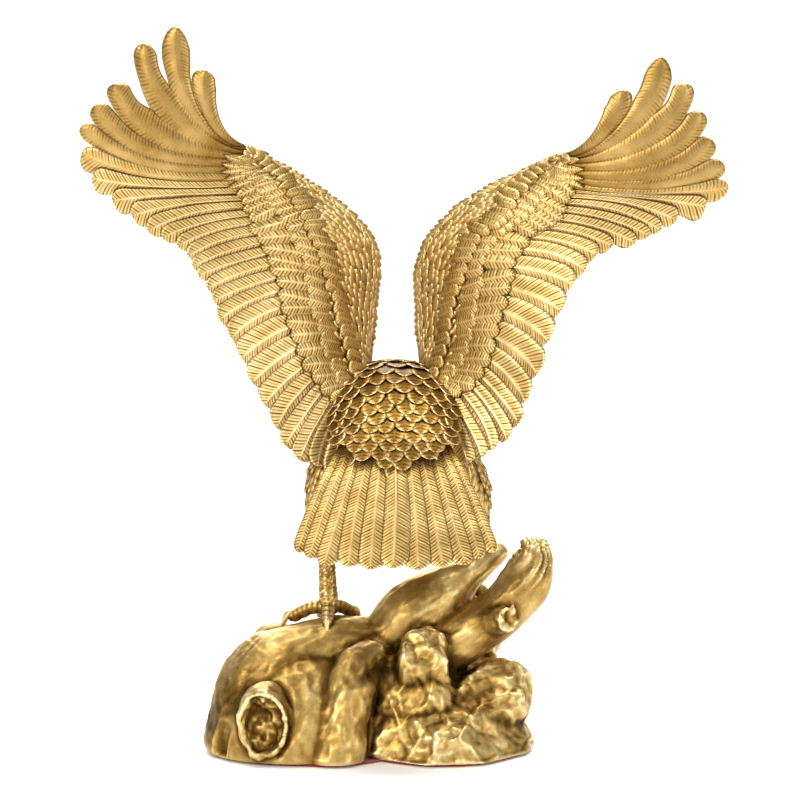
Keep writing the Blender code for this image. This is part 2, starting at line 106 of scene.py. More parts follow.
def cellGap(points, size, seed=0):
    # how much further, in cells, the second nearest jittered lattice point is than the nearest
    p = points / size
    cell = np.floor(p).astype(np.int64)
    near = np.full(points.shape[:-1], 9.0)
    second = near.copy()
    for corner in np.ndindex(3, 3, 3):
        other = cell + np.array(corner) - 1
        spot = other + np.stack([latticeValue(other, seed + k) for k in (1, 2, 3)], -1)
        far = np.linalg.norm(p - spot, axis=-1)
        closer = far < near
        second = np.where(closer, near, np.minimum(second, far))
        near = np.where(closer, far, near)
    return second - near


def sheetNormal(sheet, turn, p, q):
    # the point and unit normal of a two-parameter sheet, from small steps each way
    e = 0.003
    alongP = sheet(p + e, q) - sheet(p - e, q)
    alongQ = sheet(p, q + e) - sheet(p, q - e)
    normal = np.cross(alongP, alongQ) * turn
    normal /= np.maximum(np.linalg.norm(normal, axis=-1, keepdims=True), 1e-9)
    return sheet(p, q), normal


def vaneGrid(length, tip, power, reaches, slant, rows, across):
    # A feather's outline and barbs. Row lines leave the shaft at even steps and meet the edge
    # further on, by slant times the vane's reach; the edge is straight, then a rounded tip
    # (1 - over^power)^(1/power) of the given length, so all rows close in on the tip.
    t = (np.arange(rows) + 0.5) / rows
    c = np.asarray(across, float)[None, :]
    shaft = (length * t)[:, None]
    along, out = shaft + 0 * c, 0 * shaft + 0 * c
    for side, reach in ((-1, reaches[0]), (1, reaches[1])):
        a = np.concatenate([np.linspace(0, length - tip, 30)[:-1],
                            length - tip + tip * np.sin(np.linspace(0, np.pi / 2, 30))])
        over = np.clip((a - (length - tip)) / tip, 0, 1)
        b = reach(a) * (1 - over ** power) ** (1 / power)
        edge = np.concatenate([[0], np.cumsum(np.hypot(np.diff(a), np.diff(b)))])
        first = min(slant * reach(a[:1])[0], 0.5 * edge[-1])
        at = first + (edge[-1] - first) * t
        edgeAlong, edgeOut = np.interp(at, edge, a)[:, None], np.interp(at, edge, b)[:, None]
        here = side * c > 0
        along = np.where(here, shaft + (edgeAlong - shaft) * np.abs(c) ** 0.85, along)
        out = np.where(here, side * edgeOut * np.abs(c), out)
    return along, out


# The model was carved by hand, so no surface is quite even: how far it waves, and over what size
handWork = {"rise": 0.28, "size": 6.5}

# Places across a feather, -1 to 1: the back of it, then its underside the other way
wideVane = ((-1, -0.8, -0.6, -0.42, -0.22, -0.07, 0, 0.07, 0.25, 0.45, 0.65, 0.85, 1), (0.9, 0.45, 0, -0.45, -0.9))
covertVane = ((-1, -0.8, -0.5, -0.2, 0, 0.2, 0.5, 0.8, 1), (0.7, 0, -0.7))
smallVane = ((-1, -0.62, -0.25, 0, 0.25, 0.62, 1), (0.6, -0.6))
tinyVane = ((-1, -0.5, 0, 0.5, 1), (0.5, -0.5))


def vaneRelief(spec, ring, rows, tilt, seed):
    # Height over the sheet, and how worn each place is, with any painted shade, for every row and place across:
    # tilt + arch (1 - |c|^round) + shaft ridge, less a groove on the first of every three
    # rows. "soft" keeps the grooves off the middle, "dish" shifts the wear, and "bright" shifts the whole tone; on
    # the fingers and the back that darkening is painted shade.
    top, under = ring
    c = np.array(top + under, float)[None, :]
    isTop = np.array([True] * len(top) + [False] * len(under))[None, :]
    row = np.arange(rows)[:, None]
    groove = np.where(row % 3 == 0, 1.0, np.where(row % 3 == 1, 0.15, 0.0))
    strength = 0.66 + 0.34 * np.sin(row // 3 * 2.4 + seed) * np.sin(row // 3 * 0.7 + 2 * seed)
    side = np.abs(c)
    soft = spec.get("soft", 0.0)
    shown = np.clip(side * 6, 0, 1) * (1 - soft) + soft * np.clip(side * 2.2 - 0.5, 0, 1)
    groove = groove * shown * (0.75 + 0.25 * np.sin(row * 0.9 + seed + 3 * np.sign(c)))
    barbs = spec["barb"] * groove * strength * (1 - 0.35 * side ** 6)
    ridge = spec["shaft"] * np.clip(1 - side / 0.07, -0.2, 1) * np.clip(1.15 - row / rows, 0.1, 1)
    smooth = tilt + spec["arch"] * (1 - np.abs(c) ** spec.get("round", 2.0))
    height = np.where(isTop, smooth + ridge * (side < 0.1) - barbs - spec["thick"] * 0.35 * side ** 8,
                      smooth - spec["thick"] * (1 - 0.3 * side ** 2) + 0.4 * barbs - 0.25 * (side < 0.1))
    shaftWorn = 0.18 * (1 - soft) * (side < 0.05) * min(1.0, spec["shaft"] * 3)
    groove = groove * min(1.0, spec["barb"] * 3.6)
    edgeWorn = 0.32 * side ** 8 + spec.get("dish", 0.0) * (side ** 2 - 0.6)
    wornAndShaded = np.where(isTop, 0.65 - 0.62 * groove + shaftWorn + edgeWorn, 0.42 - 0.25 * groove)
    return height, wornAndShaded + spec.get("bright", 0.0) + 0 * height


def shellPart(points, wornAndShaded):
    # Closed shells from rings: points is shells x rows x places x 3. A point at each end
    # closes the first and last ring.
    count, rows, around = points.shape[:3]
    ends = points[:, [0, -1]].mean(axis=2)
    endsWornAndShaded = wornAndShaded[:, [0, -1]].mean(axis=2)
    each = rows * around + 2
    vertices = np.concatenate([points.reshape(count, -1, 3), ends], 1).reshape(-1, 3)
    values = np.concatenate([wornAndShaded.reshape(count, -1), endsWornAndShaded], 1).ravel()
    i, j = np.meshgrid(np.arange(rows - 1) * around, np.arange(around), indexing="ij")
    k = (j + 1) % around
    quads = np.stack([i + j, i + k, i + around + k, i + around + j], -1).reshape(-1, 4)
    j = np.arange(around)
    k = (j + 1) % around
    last = (rows - 1) * around
    fans = np.concatenate([np.stack([k, j, 0 * j + each - 2], 1),
                           np.stack([last + j, last + k, 0 * j + each - 1], 1)])
    step = (np.arange(count) * each)[:, None, None]
    return vertices, (quads + step).reshape(-1, 4), (fans + step).reshape(-1, 3), values


def enclosed(points, quads, fans):
    # six times the volume inside closed faces, negative where they face inward
    corners = np.concatenate([points[quads[:, [0, 1, 2]]], points[quads[:, [0, 2, 3]]], points[fans]])
    return np.einsum("ij,ij->i", corners[:, 0], np.cross(corners[:, 1], corners[:, 2])).sum()


def makePiece(name, parts, material, node):
    # One mesh from closed parts, each turned so that its faces point outward. It takes the
    # place of the frame's node and carries how worn each point is, with painted shade laid into that same tone.
    faces4, faces3, vertices, values, start = [], [], [], [], 0
    for points, quads, fans, wornAndShaded in parts:
        if enclosed(points, quads, fans) < 0:
            quads, fans = quads[:, ::-1], fans[:, ::-1]
        faces4.append(quads + start)
        faces3.append(fans + start)
        vertices.append(points)
        values.append(wornAndShaded)
        start += len(points)
    vertices = np.concatenate(vertices) * millimetre
    faces4, faces3 = np.concatenate(faces4), np.concatenate(faces3)
    mesh = bpy.data.meshes.new(name)
    mesh.vertices.add(len(vertices))
    mesh.vertices.foreach_set("co", vertices.astype(np.float32).ravel())
    mesh.loops.add(faces4.size + faces3.size)
    mesh.loops.foreach_set("vertex_index", np.concatenate([faces4.ravel(), faces3.ravel()]).astype(np.int32))
    mesh.polygons.add(len(faces4) + len(faces3))
    starts = np.concatenate([np.arange(len(faces4)) * 4, faces4.size + np.arange(len(faces3)) * 3])
    mesh.polygons.foreach_set("loop_start", starts.astype(np.int32))
    mesh.polygons.foreach_set("use_smooth", np.ones(len(starts), bool))
    mesh.update(calc_edges=True)
    mesh.validate()
    wearAndShade = mesh.attributes.new("wearAndShade", "FLOAT", "POINT")
    wearAndShade.data.foreach_set("value", np.concatenate(values).astype(np.float32))
    obj = bpy.data.objects.new(name, mesh)
    bpy.context.scene.collection.objects.link(obj)
    mesh.materials.append(material)
    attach(obj, "root")
    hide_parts(node)
    print(name, len(faces4) * 2 + len(faces3), "triangles")
    return obj


def linearColour(hexText):
    # sRGB hex to linear light: ((s + 0.055) / 1.055) ^ 2.4 above 0.04045, s / 12.92 below
    parts = [int(hexText[i:i + 2], 16) / 255 for i in (1, 3, 5)]
    return tuple(s / 12.92 if s <= 0.04045 else ((s + 0.055) / 1.055) ** 2.4 for s in parts) + (1.0,)


def addNode(tree, kind, settings=None, inputs=None):
    # adds a node; settings are its properties, inputs are socket values or links by socket
    node = tree.nodes.new(kind)
    for key, value in (settings or {}).items():
        setattr(node, key, value)
    for key, value in (inputs or {}).items():
        if isinstance(value, bpy.types.NodeSocket):
            tree.links.new(value, node.inputs[key])
        else:
            node.inputs[key].default_value = value
    return node


def setRamp(node, stops):
    # colour stops as place and hex colour
    ramp = node.color_ramp
    while len(ramp.elements) < len(stops):
        ramp.elements.new(0.5)
    for element, (place, hexText) in zip(ramp.elements, stops):
        element.position = place
        element.color = linearColour(hexText)


# Cast brass, chased, brushed bright and left to tone: bright worn ridges, brown tone in
# the grooves, a satin gloss with fine unevenness from the sand of the mould.
birdBrass = {
    "tones": ((0.0, "#3f290b"), (0.3, "#83632b"), (0.6, "#c6a86b"), (0.85, "#e7d1a0"), (1.0, "#f8ebca")),
    "roughGroove": 0.55, "roughRidge": 0.30,
    # mm across the sand's grain and the blotches of tone, and how far each shifts the tone
    "grain": 0.35, "blotch": 14.0, "speckle": 0.16, "mottle": 0.36,
}
# The base's cast brass is toned darker and a little greener, and was brushed less.
baseBrass = {
    "tones": ((0.0, "#34230b"), (0.3, "#705324"), (0.6, "#ae8f50"), (0.85, "#d4bc82"), (1.0, "#eedeb4")),
    "roughGroove": 0.6, "roughRidge": 0.34,
    "grain": 0.45, "blotch": 18.0, "speckle": 0.16, "mottle": 0.36,
}


def castBrass(name, spec):
    # wear and painted shade, plus blotches plus grain, each centred on nought, sets the tone and the roughness
    material = bpy.data.materials.new(name)
    material.use_nodes = True
    tree = material.node_tree
    shader = tree.nodes["Principled BSDF"]
    place = addNode(tree, "ShaderNodeTexCoord").outputs["Object"]
    wearAndShade = addNode(tree, "ShaderNodeAttribute", {"attribute_name": "wearAndShade"}).outputs["Fac"]
    blotch = addNode(tree, "ShaderNodeTexNoise", {},
                     {"Vector": place, "Scale": 1000 / spec["blotch"], "Detail": 4.0}).outputs["Fac"]
    grain = addNode(tree, "ShaderNodeTexNoise", {},
                    {"Vector": place, "Scale": 1000 / spec["grain"] / 2, "Detail": 2.0}).outputs["Fac"]
    mottled = addNode(tree, "ShaderNodeMath", {"operation": "MULTIPLY_ADD"},
                      {0: blotch, 1: spec["mottle"], 2: -spec["mottle"] / 2}).outputs[0]
    toned = addNode(tree, "ShaderNodeMath", {"operation": "ADD", "use_clamp": True},
                    {0: wearAndShade, 1: mottled}).outputs[0]
    speck = addNode(tree, "ShaderNodeMath", {"operation": "MULTIPLY_ADD", "use_clamp": True},
                    {0: grain, 1: spec["speckle"], 2: toned}).outputs[0]
    lowered = addNode(tree, "ShaderNodeMath", {"operation": "SUBTRACT", "use_clamp": True},
                      {0: speck, 1: spec["speckle"] / 2}).outputs[0]
    ramp = addNode(tree, "ShaderNodeValToRGB", {}, {"Fac": lowered})
    setRamp(ramp, spec["tones"])
    rough = addNode(tree, "ShaderNodeMapRange", {}, {"Value": lowered, "To Min": spec["roughGroove"],
                                                     "To Max": spec["roughRidge"]}).outputs[0]
    bump = addNode(tree, "ShaderNodeBump", {}, {"Height": grain, "Strength": 0.25, "Distance": 0.0001}).outputs[0]
    tree.links.new(ramp.outputs["Color"], shader.inputs["Base Color"])
    tree.links.new(rough, shader.inputs["Roughness"])
    tree.links.new(bump, shader.inputs["Normal"])
    shader.inputs["Metallic"].default_value = 1.0
    return material


brightBrass = castBrass("cast_brass_brushed_bright", birdBrass)
agedBrass = castBrass("cast_brass_toned", baseBrass)
print("materials ready")


def makeBirdPiece(name, parts):
    # every piece of the bird is of the same bright brass and stands for the frame's eagle
    makePiece(name, parts, brightBrass, "eagle")


# One row is a station along the wing, from the body out: share of the span, leading edge
# x y z, feather tip x y z, and the angles at which the feather line leaves the leading edge
# and reaches its tip (0 is outward and 90 is up).
leftWing = {
    "name": "left_wing", "out": 1, "feathers": 28, "last": 0.984,
    "stations": (
        (0.02, 18, -14, 176, 34, 16, 134, -60, -80),
        (0.09, 17, -19, 184, 49, 18, 140, -38, -72),
        (0.20, 16, -23, 196, 66, 20, 167, -8, -55),
        (0.30, 15, -24, 212, 80, 22, 198, 8, -42),
        (0.41, 14, -20, 229, 92, 22, 220, 14, -30),
        (0.52, 19, -13, 244, 100, 22, 236, 8, -32),
        (0.63, 34, -4, 259, 120, 24, 248, -3, -30),
        (0.73, 49, 6, 270, 141, 29, 272, -6, 12),
        (0.80, 59, 11, 276, 146, 33, 294, -6, 44),
        (0.875, 65, 14, 280, 130, 36, 314, 2, 80),
        (0.945, 69, 16, 283, 103, 38, 340, 6, 100),
        (0.98, 72, 17, 285, 91, 36, 322, 8, 104),
        (1.04, 71, 17, 287, 73, 36, 312, 36, 108),
    ),
}
rightWing = {
    "name": "right_wing", "out": -1, "feathers": 25, "last": 0.982,
    "stations": (
        (0.02, -11, -14, 178, -31, 16, 138, -55, -79),
        (0.10, -10, -19, 186, -44, 18, 144, -36, -72),
        (0.22, -9, -23, 198, -59, 20, 168, -6, -60),
        (0.30, -9, -24, 212, -69, 22, 197, 8, -46),
        (0.38, -9, -20, 225, -80, 22, 222, 14, -34),
        (0.46, -14, -13, 240, -90, 22, 236, 8, -32),
        (0.54, -25, -4, 253, -107, 24, 242, 0, -32),
        (0.66, -41, 4, 264, -128, 28, 253, -4, -24),
        (0.74, -52, 9, 270, -148, 32, 268, -8, 10),
        (0.82, -62, 13, 275, -140, 35, 289, -6, 56),
        (0.90, -68, 15, 278, -128, 37, 314, 0, 86),
        (0.94, -71, 16, 279, -116, 38, 326, 2, 94),
        (0.98, -74, 17, 281, -99, 36, 312, 4, 94),
        (1.045, -73, 17, 284, -81, 36, 303, 30, 98),
    ),
}
wingLook = {
    "camber": 9.0, "fingers": 7, "armDepth": 12.0,
    "span": (0.00, 0.08, 0.19, 0.30, 0.41, 0.52, 0.63, 0.74, 0.82, 1.00),
    "greaterEnd": (0.30, 0.42, 0.54, 0.59, 0.57, 0.59, 0.44, 0.31, 0.24, 0.12),
    "medianEnd": (0.16, 0.20, 0.23, 0.27, 0.30, 0.32, 0.20, 0.10, 0.08, 0.05),
    "flight": {"step": 1.25, "arch": 0.45, "thick": 1.0, "barb": 0.30, "shaft": 0.32, "pitch": 1.6, "slant": 0.85},
    "underCoverts": {"step": -0.5, "arch": 0.9, "thick": 0.9, "barb": 0.2, "shaft": 0.25, "pitch": 2.4, "slant": 0.7},
    # sizes of the covert rows at these shares of the span
    "sizeAt": (0.0, 0.25, 0.42, 0.6, 0.8, 1.0),
    "rows": {
        "greater_coverts": {
            "end": "greaterEnd", "share": 1.05, "to": 0.96, "first": 0.6, "lift": (0.4, 2.1), "slant": 0.9,
            "pitch": (7.5, 7.4, 5.5, 4.6, 4.4, 4.2), "length": (18, 25, 31, 30, 19, 10),
            "width": (9.6, 10.0, 8.8, 7.6, 6.6, 5.4), "lean": (84, 77, 63, 51, 42, 56),
            "feather": {"arch": 1.1, "round": 2.6, "thick": 0.9, "barb": 0.26, "shaft": 0.16, "rows": 51}},
        "second_coverts": {
            "end": "greaterEnd", "share": 0.74, "to": 0.95, "first": 0.3, "lift": (0.6, 2.6), "slant": 0.9,
            "pitch": (7.0, 6.8, 5.0, 4.3, 4.2, 4.0), "length": (12, 16, 20, 21, 14, 8),
            "width": (8.6, 8.8, 7.2, 6.2, 5.4, 4.6), "lean": (80, 71, 56, 44, 38, 50),
            "feather": {"arch": 0.9, "round": 2.6, "thick": 0.9, "barb": 0.24, "shaft": 0.14, "rows": 36}},
        "median_coverts": {
            "end": "medianEnd", "share": 1.08, "to": 0.93, "first": 0.5, "lift": (1.2, 3.3), "slant": 0.7,
            "pitch": (6.2, 6.2, 5.2, 4.4, 3.8, 3.4), "length": (10, 12, 13, 13, 10, 6),
            "width": (7.8, 7.8, 6.4, 5.2, 4.4, 3.8), "lean": (78, 68, 50, 36, 36, 50),
            "feather": {"arch": 1.0, "round": 2.4, "thick": 0.9, "barb": 0.2, "shaft": 0.12, "rows": 27}},
    },
    # fade: the share of the tone a small feather keeps at its root, as painted shade under the feathers over it
    "small": {"arch": 0.3, "thick": 0.7, "barb": 0.0, "shaft": 0.12, "fade": 0.5, "length": 7.8, "width": 4.5,
              "pitch": 3.5, "aside": 2.45, "rows": 6},
}


def wingSheet(wing):
    # The wing's back at span p and share q: in the plane x z a cubic Hermite from leading
    # edge to feather tip; y goes straight between them plus camber * sin(pi q^0.75)
    stations = np.asarray(wing["stations"], float)
    out = wing["out"]

    def at(p, q):
        p, q = np.broadcast_arrays(np.asarray(p, float), np.asarray(q, float))
        row = smoothThrough(stations[:, 0], stations[:, 1:], p)
        lead, tip = row[..., [0, 2]], row[..., [3, 5]]
        reach = np.linalg.norm(tip - lead, axis=-1, keepdims=True)
        leave, arrive = np.radians(row[..., 6:7]), np.radians(row[..., 7:8])
        start = np.concatenate([out * np.cos(leave), np.sin(leave)], -1) * reach
        end = np.concatenate([out * np.cos(arrive), np.sin(arrive)], -1) * reach
        t = q[..., None]
        flat = ((1 + 2 * t) * (1 - t) ** 2 * lead + t * (1 - t) ** 2 * start
                + t * t * (3 - 2 * t) * tip + t * t * (t - 1) * end)
        bulge = wingLook["camber"] * np.sin(np.pi * np.clip(q, 0, 1) ** 0.75)
        depth = row[..., 1] * (1 - q) + row[..., 4] * q + bulge
        return np.stack([flat[..., 0], depth, flat[..., 1]], -1)

    return at


def frontSheet(wing, sheet):
    # The wing's front: the back, let down along y by an arm that is deepest near the leading
    # edge, armDepth * span factor * (q/0.1) e^(1 - q/0.1), over a thin web towards the tips
    def at(p, q):
        points = sheet(p, q)
        p, q = np.broadcast_arrays(np.asarray(p, float), np.asarray(q, float))
        s = np.clip(q, 0, 1) / 0.11
        arm = wingLook["armDepth"] * np.interp(p, (0, 0.5, 1), (1.15, 1.0, 0.5)) * s * np.exp(1 - s)
        points[..., 1] -= arm + 1.8 + 1.4 * np.exp(-q / 0.02)
        return points

    return at


def layFeather(sheet, turn, middle, start, end, count, spec, shape, base, seed, ring=wideVane):
    # One long feather on a sheet. Its shaft runs along the sheet's line p = middle from share
    # start to share end. A distance across is set off square to the shaft: with P and Q the
    # sheet's two directions and skew = P.Q / Q.Q, it is p by 1 / |P - skew Q| and q by -skew of that.
    shares = np.linspace(start, end, 60)
    line = sheet(np.full(60, middle), shares)
    arc = runAlong(line)
    length = arc[-1]
    alongP = (sheet(np.full(60, middle + 0.004), shares) - sheet(np.full(60, middle - 0.004), shares)) / 0.008
    alongQ = np.gradient(line, shares, axis=0)
    skew = (alongP * alongQ).sum(1) / (alongQ ** 2).sum(1)
    stretch = np.linalg.norm(alongP - skew[:, None] * alongQ, axis=1)
    spacing = stretch / count
    under, tip, power, even = shape["under"], min(shape["tip"], 0.8 * length), shape["power"], shape["even"]
    cap = shape.get("cap") or (99, 99, 99)
    most = lambda a: np.interp(a / length, (0, 0.55, 0.82), cap)
    inner = lambda a: np.minimum(np.interp(a, arc, spacing) * (0.38 + 0.12 * even + under(a, length)), most(a))
    outer = lambda a: np.minimum(np.interp(a, arc, spacing) * (0.72 - 0.18 * even) + 0.4 * even, most(a))
    rows = 3 * max(5, int(round(length / spec["pitch"])))
    across = np.array(ring[0] + ring[1])
    along, out = vaneGrid(length, tip, power, (inner, outer), spec["slant"], rows, across)
    share = np.interp(along, arc, shares)
    gap = np.interp(along, arc, spacing)
    tilt = spec["step"] * (out / gap + 0.38) + base[0] + (base[1] - base[0]) * (along / length) ** base[2]
    height, wornAndShaded = vaneRelief(spec, ring, rows, tilt, seed)
    out = out + shape.get("bend", 0.0) * np.sin(np.pi * along / length * 1.3) * (along / length)
    sideways = out / np.interp(along, arc, stretch)
    points, normal = sheetNormal(sheet, turn, middle + sideways, share - sideways * np.interp(along, arc, skew))
    height = height + handWork["rise"] * swell(points, handWork["size"], 5)
    # painted shade: the tone darkens towards the feather's root, where other feathers cover it
    wornAndShaded = wornAndShaded * np.clip(0.45 + 1.6 * along / length, 0.45, 1)
    return shellPart((points + normal * height[..., None])[None], wornAndShaded[None])


def sheetSteps(sheet, p, q, heading):
    # What a millimetre along heading, and a millimetre across it, is in p and q. Heading turns
    # from the sheet's p direction to its q side; the sheet's own metric gives the steps.
    e = 0.003
    alongP = (sheet(p + e, q) - sheet(p - e, q)) / (2 * e)
    alongQ = (sheet(p, q + e) - sheet(p, q - e)) / (2 * e)
    unitP = alongP / np.maximum(np.linalg.norm(alongP, axis=-1, keepdims=True), 1e-6)
    aside = alongQ - (alongQ * unitP).sum(-1, keepdims=True) * unitP
    unitQ = aside / np.maximum(np.linalg.norm(aside, axis=-1, keepdims=True), 1e-6)
    pp, pq, qq = (alongP ** 2).sum(-1), (alongP * alongQ).sum(-1), (alongQ ** 2).sum(-1)
    det = np.maximum(pp * qq - pq ** 2, 0.04 * pp * qq + 1e-6)
    found = []
    for c, s in ((np.cos(heading), np.sin(heading)), (-np.sin(heading), np.cos(heading))):
        way = c[..., None] * unitP + s[..., None] * unitQ
        a, b = (way * alongP).sum(-1), (way * alongQ).sum(-1)
        found += [(qq * a - pq * b) / det, (pp * b - pq * a) / det]
    return found


def strewFeathers(sheet, turn, p, q, heading, length, width, spec, lift, ring=smallVane, tip=0.62, power=2.0,
                  slant=0.35, fromTip=False):
    # Many small feathers of one form on a sheet. The shaft of each is walked over the sheet in
    # even steps along heading, from its root or back from its tip at (p, q); places beside the
    # shaft are set off across it. The tip stands lift[1] over the sheet, the root lift[0].
    steps = 12
    hops = np.zeros((len(p), steps + 1, 4))
    way = -1.0 if fromTip else 1.0
    p, q = np.array(p, float), np.array(q, float)
    for k in range(steps + 1):
        alongP, alongQ, asideP, asideQ = sheetSteps(sheet, p, q, heading)
        hops[:, k] = np.stack([p, q, asideP, asideQ], 1)
        p, q = p + way * alongP * length / steps, q + way * alongQ * length / steps
    if fromTip:
        hops = hops[:, ::-1]
    rows = spec["rows"]
    across = np.array(ring[0] + ring[1])
    ratio = float(np.mean(width) / np.mean(length))
    unit = lambda a: 0.5 * ratio * np.clip(0.55 + a / 0.3, 0, 1)
    along, out = vaneGrid(1.0, min(tip, 0.9), power, (unit, unit), slant, rows, across)
    place = np.clip(along, 0, 1) * steps
    k = np.minimum(place.astype(int), steps - 1)
    f = (place - k)[None, ..., None]
    at = hops[:, k] * (1 - f) + hops[:, k + 1] * f
    b = (out / ratio)[None] * width[:, None, None]
    points, normal = sheetNormal(sheet, turn, at[..., 0] + b * at[..., 2], at[..., 1] + b * at[..., 3])
    tilt = lift[0] + (lift[1] - lift[0]) * along ** 0.7
    height, wornAndShaded = vaneRelief(spec, ring, rows, tilt, 0.0)
    height = height[None] + handWork["rise"] * swell(points, handWork["size"], 5)
    # painted shade: each small feather darkens towards its root, where it lies under the others; fade is the share of
    # the tone kept at the root
    fade = spec.get("fade", 0.62)
    wornAndShaded = np.clip(wornAndShaded[None] * (fade + (1.06 - fade) * along[None]), 0, 1) + 0 * b
    return shellPart(points + normal * height[..., None], wornAndShaded)


def makeWing(wing, rng):
    sheet = wingSheet(wing)
    turn = wing["out"]
    # Flight feathers, rows of coverts, the arm with its small feathers, and the front. Wings
    # are laid feather by feather from the body out, the last seven as spread fingers.
    count, fingers = wing["feathers"], wingLook["fingers"]
    span, name = wingLook["span"], wing["name"]

    parts = []
    for i in range(count):
        # nought on the plain flight feathers, one on the fingers, between them a half
        finger = max(0.0, min(1.0, (i - (count - fingers) + 1.0) / 2.0))
        last = i == count - 1
        middle = wing["last"] if last else (i + 0.38 + 0.12 * finger) / count
        greater = float(np.interp(middle, span, wingLook["greaterEnd"]))
        start = max(0.02, greater - 0.14)
        look = dict(wingLook["flight"])
        look["arch"] = look["arch"] + 0.8 * finger
        look["step"] = look["step"] * (1 - 0.5 * finger)
        look["barb"] = look["barb"] * (1 - 0.6 * finger)
        look["shaft"] = look["shaft"] * (1 - 0.75 * finger)
        look["slant"] = float(np.interp(middle, (0, 0.25, 0.5, 0.8, 1), (0.5, 0.75, 1.25, 1.3, 1.0)))
        look["soft"] = finger
        # painted shade: the fingers are toned darker, as the hand lies turned away from the light
        look["bright"] = 0.02 - 0.24 * finger
        wide = 6.4 if i == count - 2 else 5.5
        cap = (30, wide + 2.6 + 14 * (1 - finger), wide + 16 * (1 - finger))
        narrow = max(0.0, 2 * finger - 1)
        under = lambda a, full, f=narrow: 0.47 * (1 - f * np.clip((a - full + 30) / 12, 0, 1)) + 0.05 * f
        # the two where the fingers start lie straighter, so that no light shows between them
        bend = rng.uniform(-1.1, 1.1) * (0.2 if count - fingers - 1 <= i <= count - fingers else 1.0)
        shape = {"under": under, "tip": 6.6 - 0.6 * finger, "power": 2.1, "even": finger,
                 "cap": cap if finger > 0 else None, "bend": bend}
        end = 0.99 if last else 1.0 + (1 - finger) * rng.uniform(-0.018, 0.018)
        curl = 1.3 * (1 - finger)
        parts.append(layFeather(sheet, turn, middle, start, end, count, look, shape, (0.0, curl, 3), i * 1.7))
    makeBirdPiece(name + "_flight_feathers", parts)

    # coverts: rows of feathers set by their tips, which stand a pitch apart along a line of
    # the sheet. Towards the wing tip they are narrower and lean over towards it.
    for row, spec in wingLook["rows"].items():
        line = np.linspace(0.0, spec["to"], 300)
        end = spec["share"] * np.interp(line, span, wingLook[spec["end"]])
        edge = sheet(line, end)
        pitch = np.interp(line, wingLook["sizeAt"], spec["pitch"])
        steps = np.concatenate([[0], np.cumsum(np.linalg.norm(np.diff(edge, axis=0), axis=1)
                                               * 2 / (pitch[1:] + pitch[:-1]))])
        at = np.interp(np.arange(spec["first"], steps[-1] - 0.3), steps, line)
        n = len(at)
        at = at + rng.uniform(-0.0015, 0.0015, n)
        tipShare = np.interp(at, line, end) + rng.uniform(-0.012, 0.012, n)
        lean = np.radians(np.interp(at, wingLook["sizeAt"], spec["lean"]) + rng.uniform(-5, 5, n))
        length = np.interp(at, wingLook["sizeAt"], spec["length"]) * rng.uniform(0.93, 1.07, n)
        width = np.interp(at, wingLook["sizeAt"], spec["width"]) * rng.uniform(0.95, 1.1, n)
        parts = []
        hand = at > 0.70
        for chosen, tip, power in ((~hand, 0.30, 2.1), (hand, 0.6, 1.35)):
            if chosen.any():
                parts.append(strewFeathers(sheet, turn, at[chosen], tipShare[chosen], lean[chosen], length[chosen],
                                           width[chosen], spec["feather"], spec["lift"], ring=covertVane, tip=tip,
                                           power=power, slant=spec["slant"], fromTip=True))
        makeBirdPiece(name + "_" + row, parts)

    # the arm: a closed loft of the back from the leading edge to the middle of the coverts,
    # round the leading edge and along the front
    front = frontSheet(wing, sheet)
    p = np.linspace(0.005, 0.985, 110)[:, None]
    reach = 0.72 * np.interp(p, span, wingLook["greaterEnd"]) + 0.12
    u = np.linspace(0, 1, 22)[None, :]
    back, normal = sheetNormal(sheet, turn, p, np.maximum(u, 0.003) * reach)
    back = back + normal * (1.9 * (1 - u) ** 1.3)[..., None]
    below = front(p, (1 - u) * reach)
    nose = (back[:, :1] * np.array([0.35, 0.65])[None, :, None]
            + below[:, -1:] * np.array([0.65, 0.35])[None, :, None])
    nose[..., 0] -= turn * 1.6
    arm = np.concatenate([back, below, nose], 1)
    parts = [shellPart(arm[None], np.full(arm.shape[:2], 0.5)[None])]

    # small feathers over the arm, tips towards the wing tip, in columns along the span
    small = wingLook["small"]
    along = np.linspace(0, 0.93, 200)
    edge = sheet(along, np.full(200, 0.02))
    run = runAlong(edge)
    reach = np.linalg.norm(sheet(along, np.full(200, 0.98)) - edge, axis=1)
    places = []
    for column in range(20):
        steps = np.arange(1 + 0.5 * small["pitch"] * (column % 2), run[-1] - 2, small["pitch"])
        at = np.interp(steps, run, along)
        share = (small["aside"] * column - 2.4) / np.interp(at, along, reach)
        keep = share < 0.96 * np.interp(at, span, wingLook["medianEnd"])
        places.append(np.stack([at, share, 0 * at + column / 8.0], 1)[keep])
    places = np.concatenate(places)
    places[:, 0] += rng.uniform(-0.002, 0.002, len(places))
    heading = 0.12 + 0.38 * places[:, 2] + rng.uniform(-0.14, 0.14, len(places))
    heading = heading + np.interp(places[:, 0], (0, 0.45), (0.75, 0.0))
    length = small["length"] * rng.uniform(0.9, 1.2, len(places)) * (1 + 0.15 * places[:, 2])
    width = small["width"] * rng.uniform(0.92, 1.12, len(places)) * (1 + 0.12 * places[:, 2])
    parts.append(strewFeathers(sheet, turn, places[:, 0], places[:, 1], heading, length, width, small, (1.0, 2.4),
                               ring=tinyVane, tip=0.8, power=1.4))
    # a few longer pointed ones stand out past the leading edge, as at the bend of the wing
    at = np.array((0.66, 0.72, 0.78, 0.84))
    parts.append(strewFeathers(sheet, turn, at, 0 * at - 0.005, np.array((-0.35, -0.3, -0.3, -0.2)), 0 * at + 8.5,
                               0 * at + 3.6, small, (0.8, 2.6), tip=0.85, power=1.3))

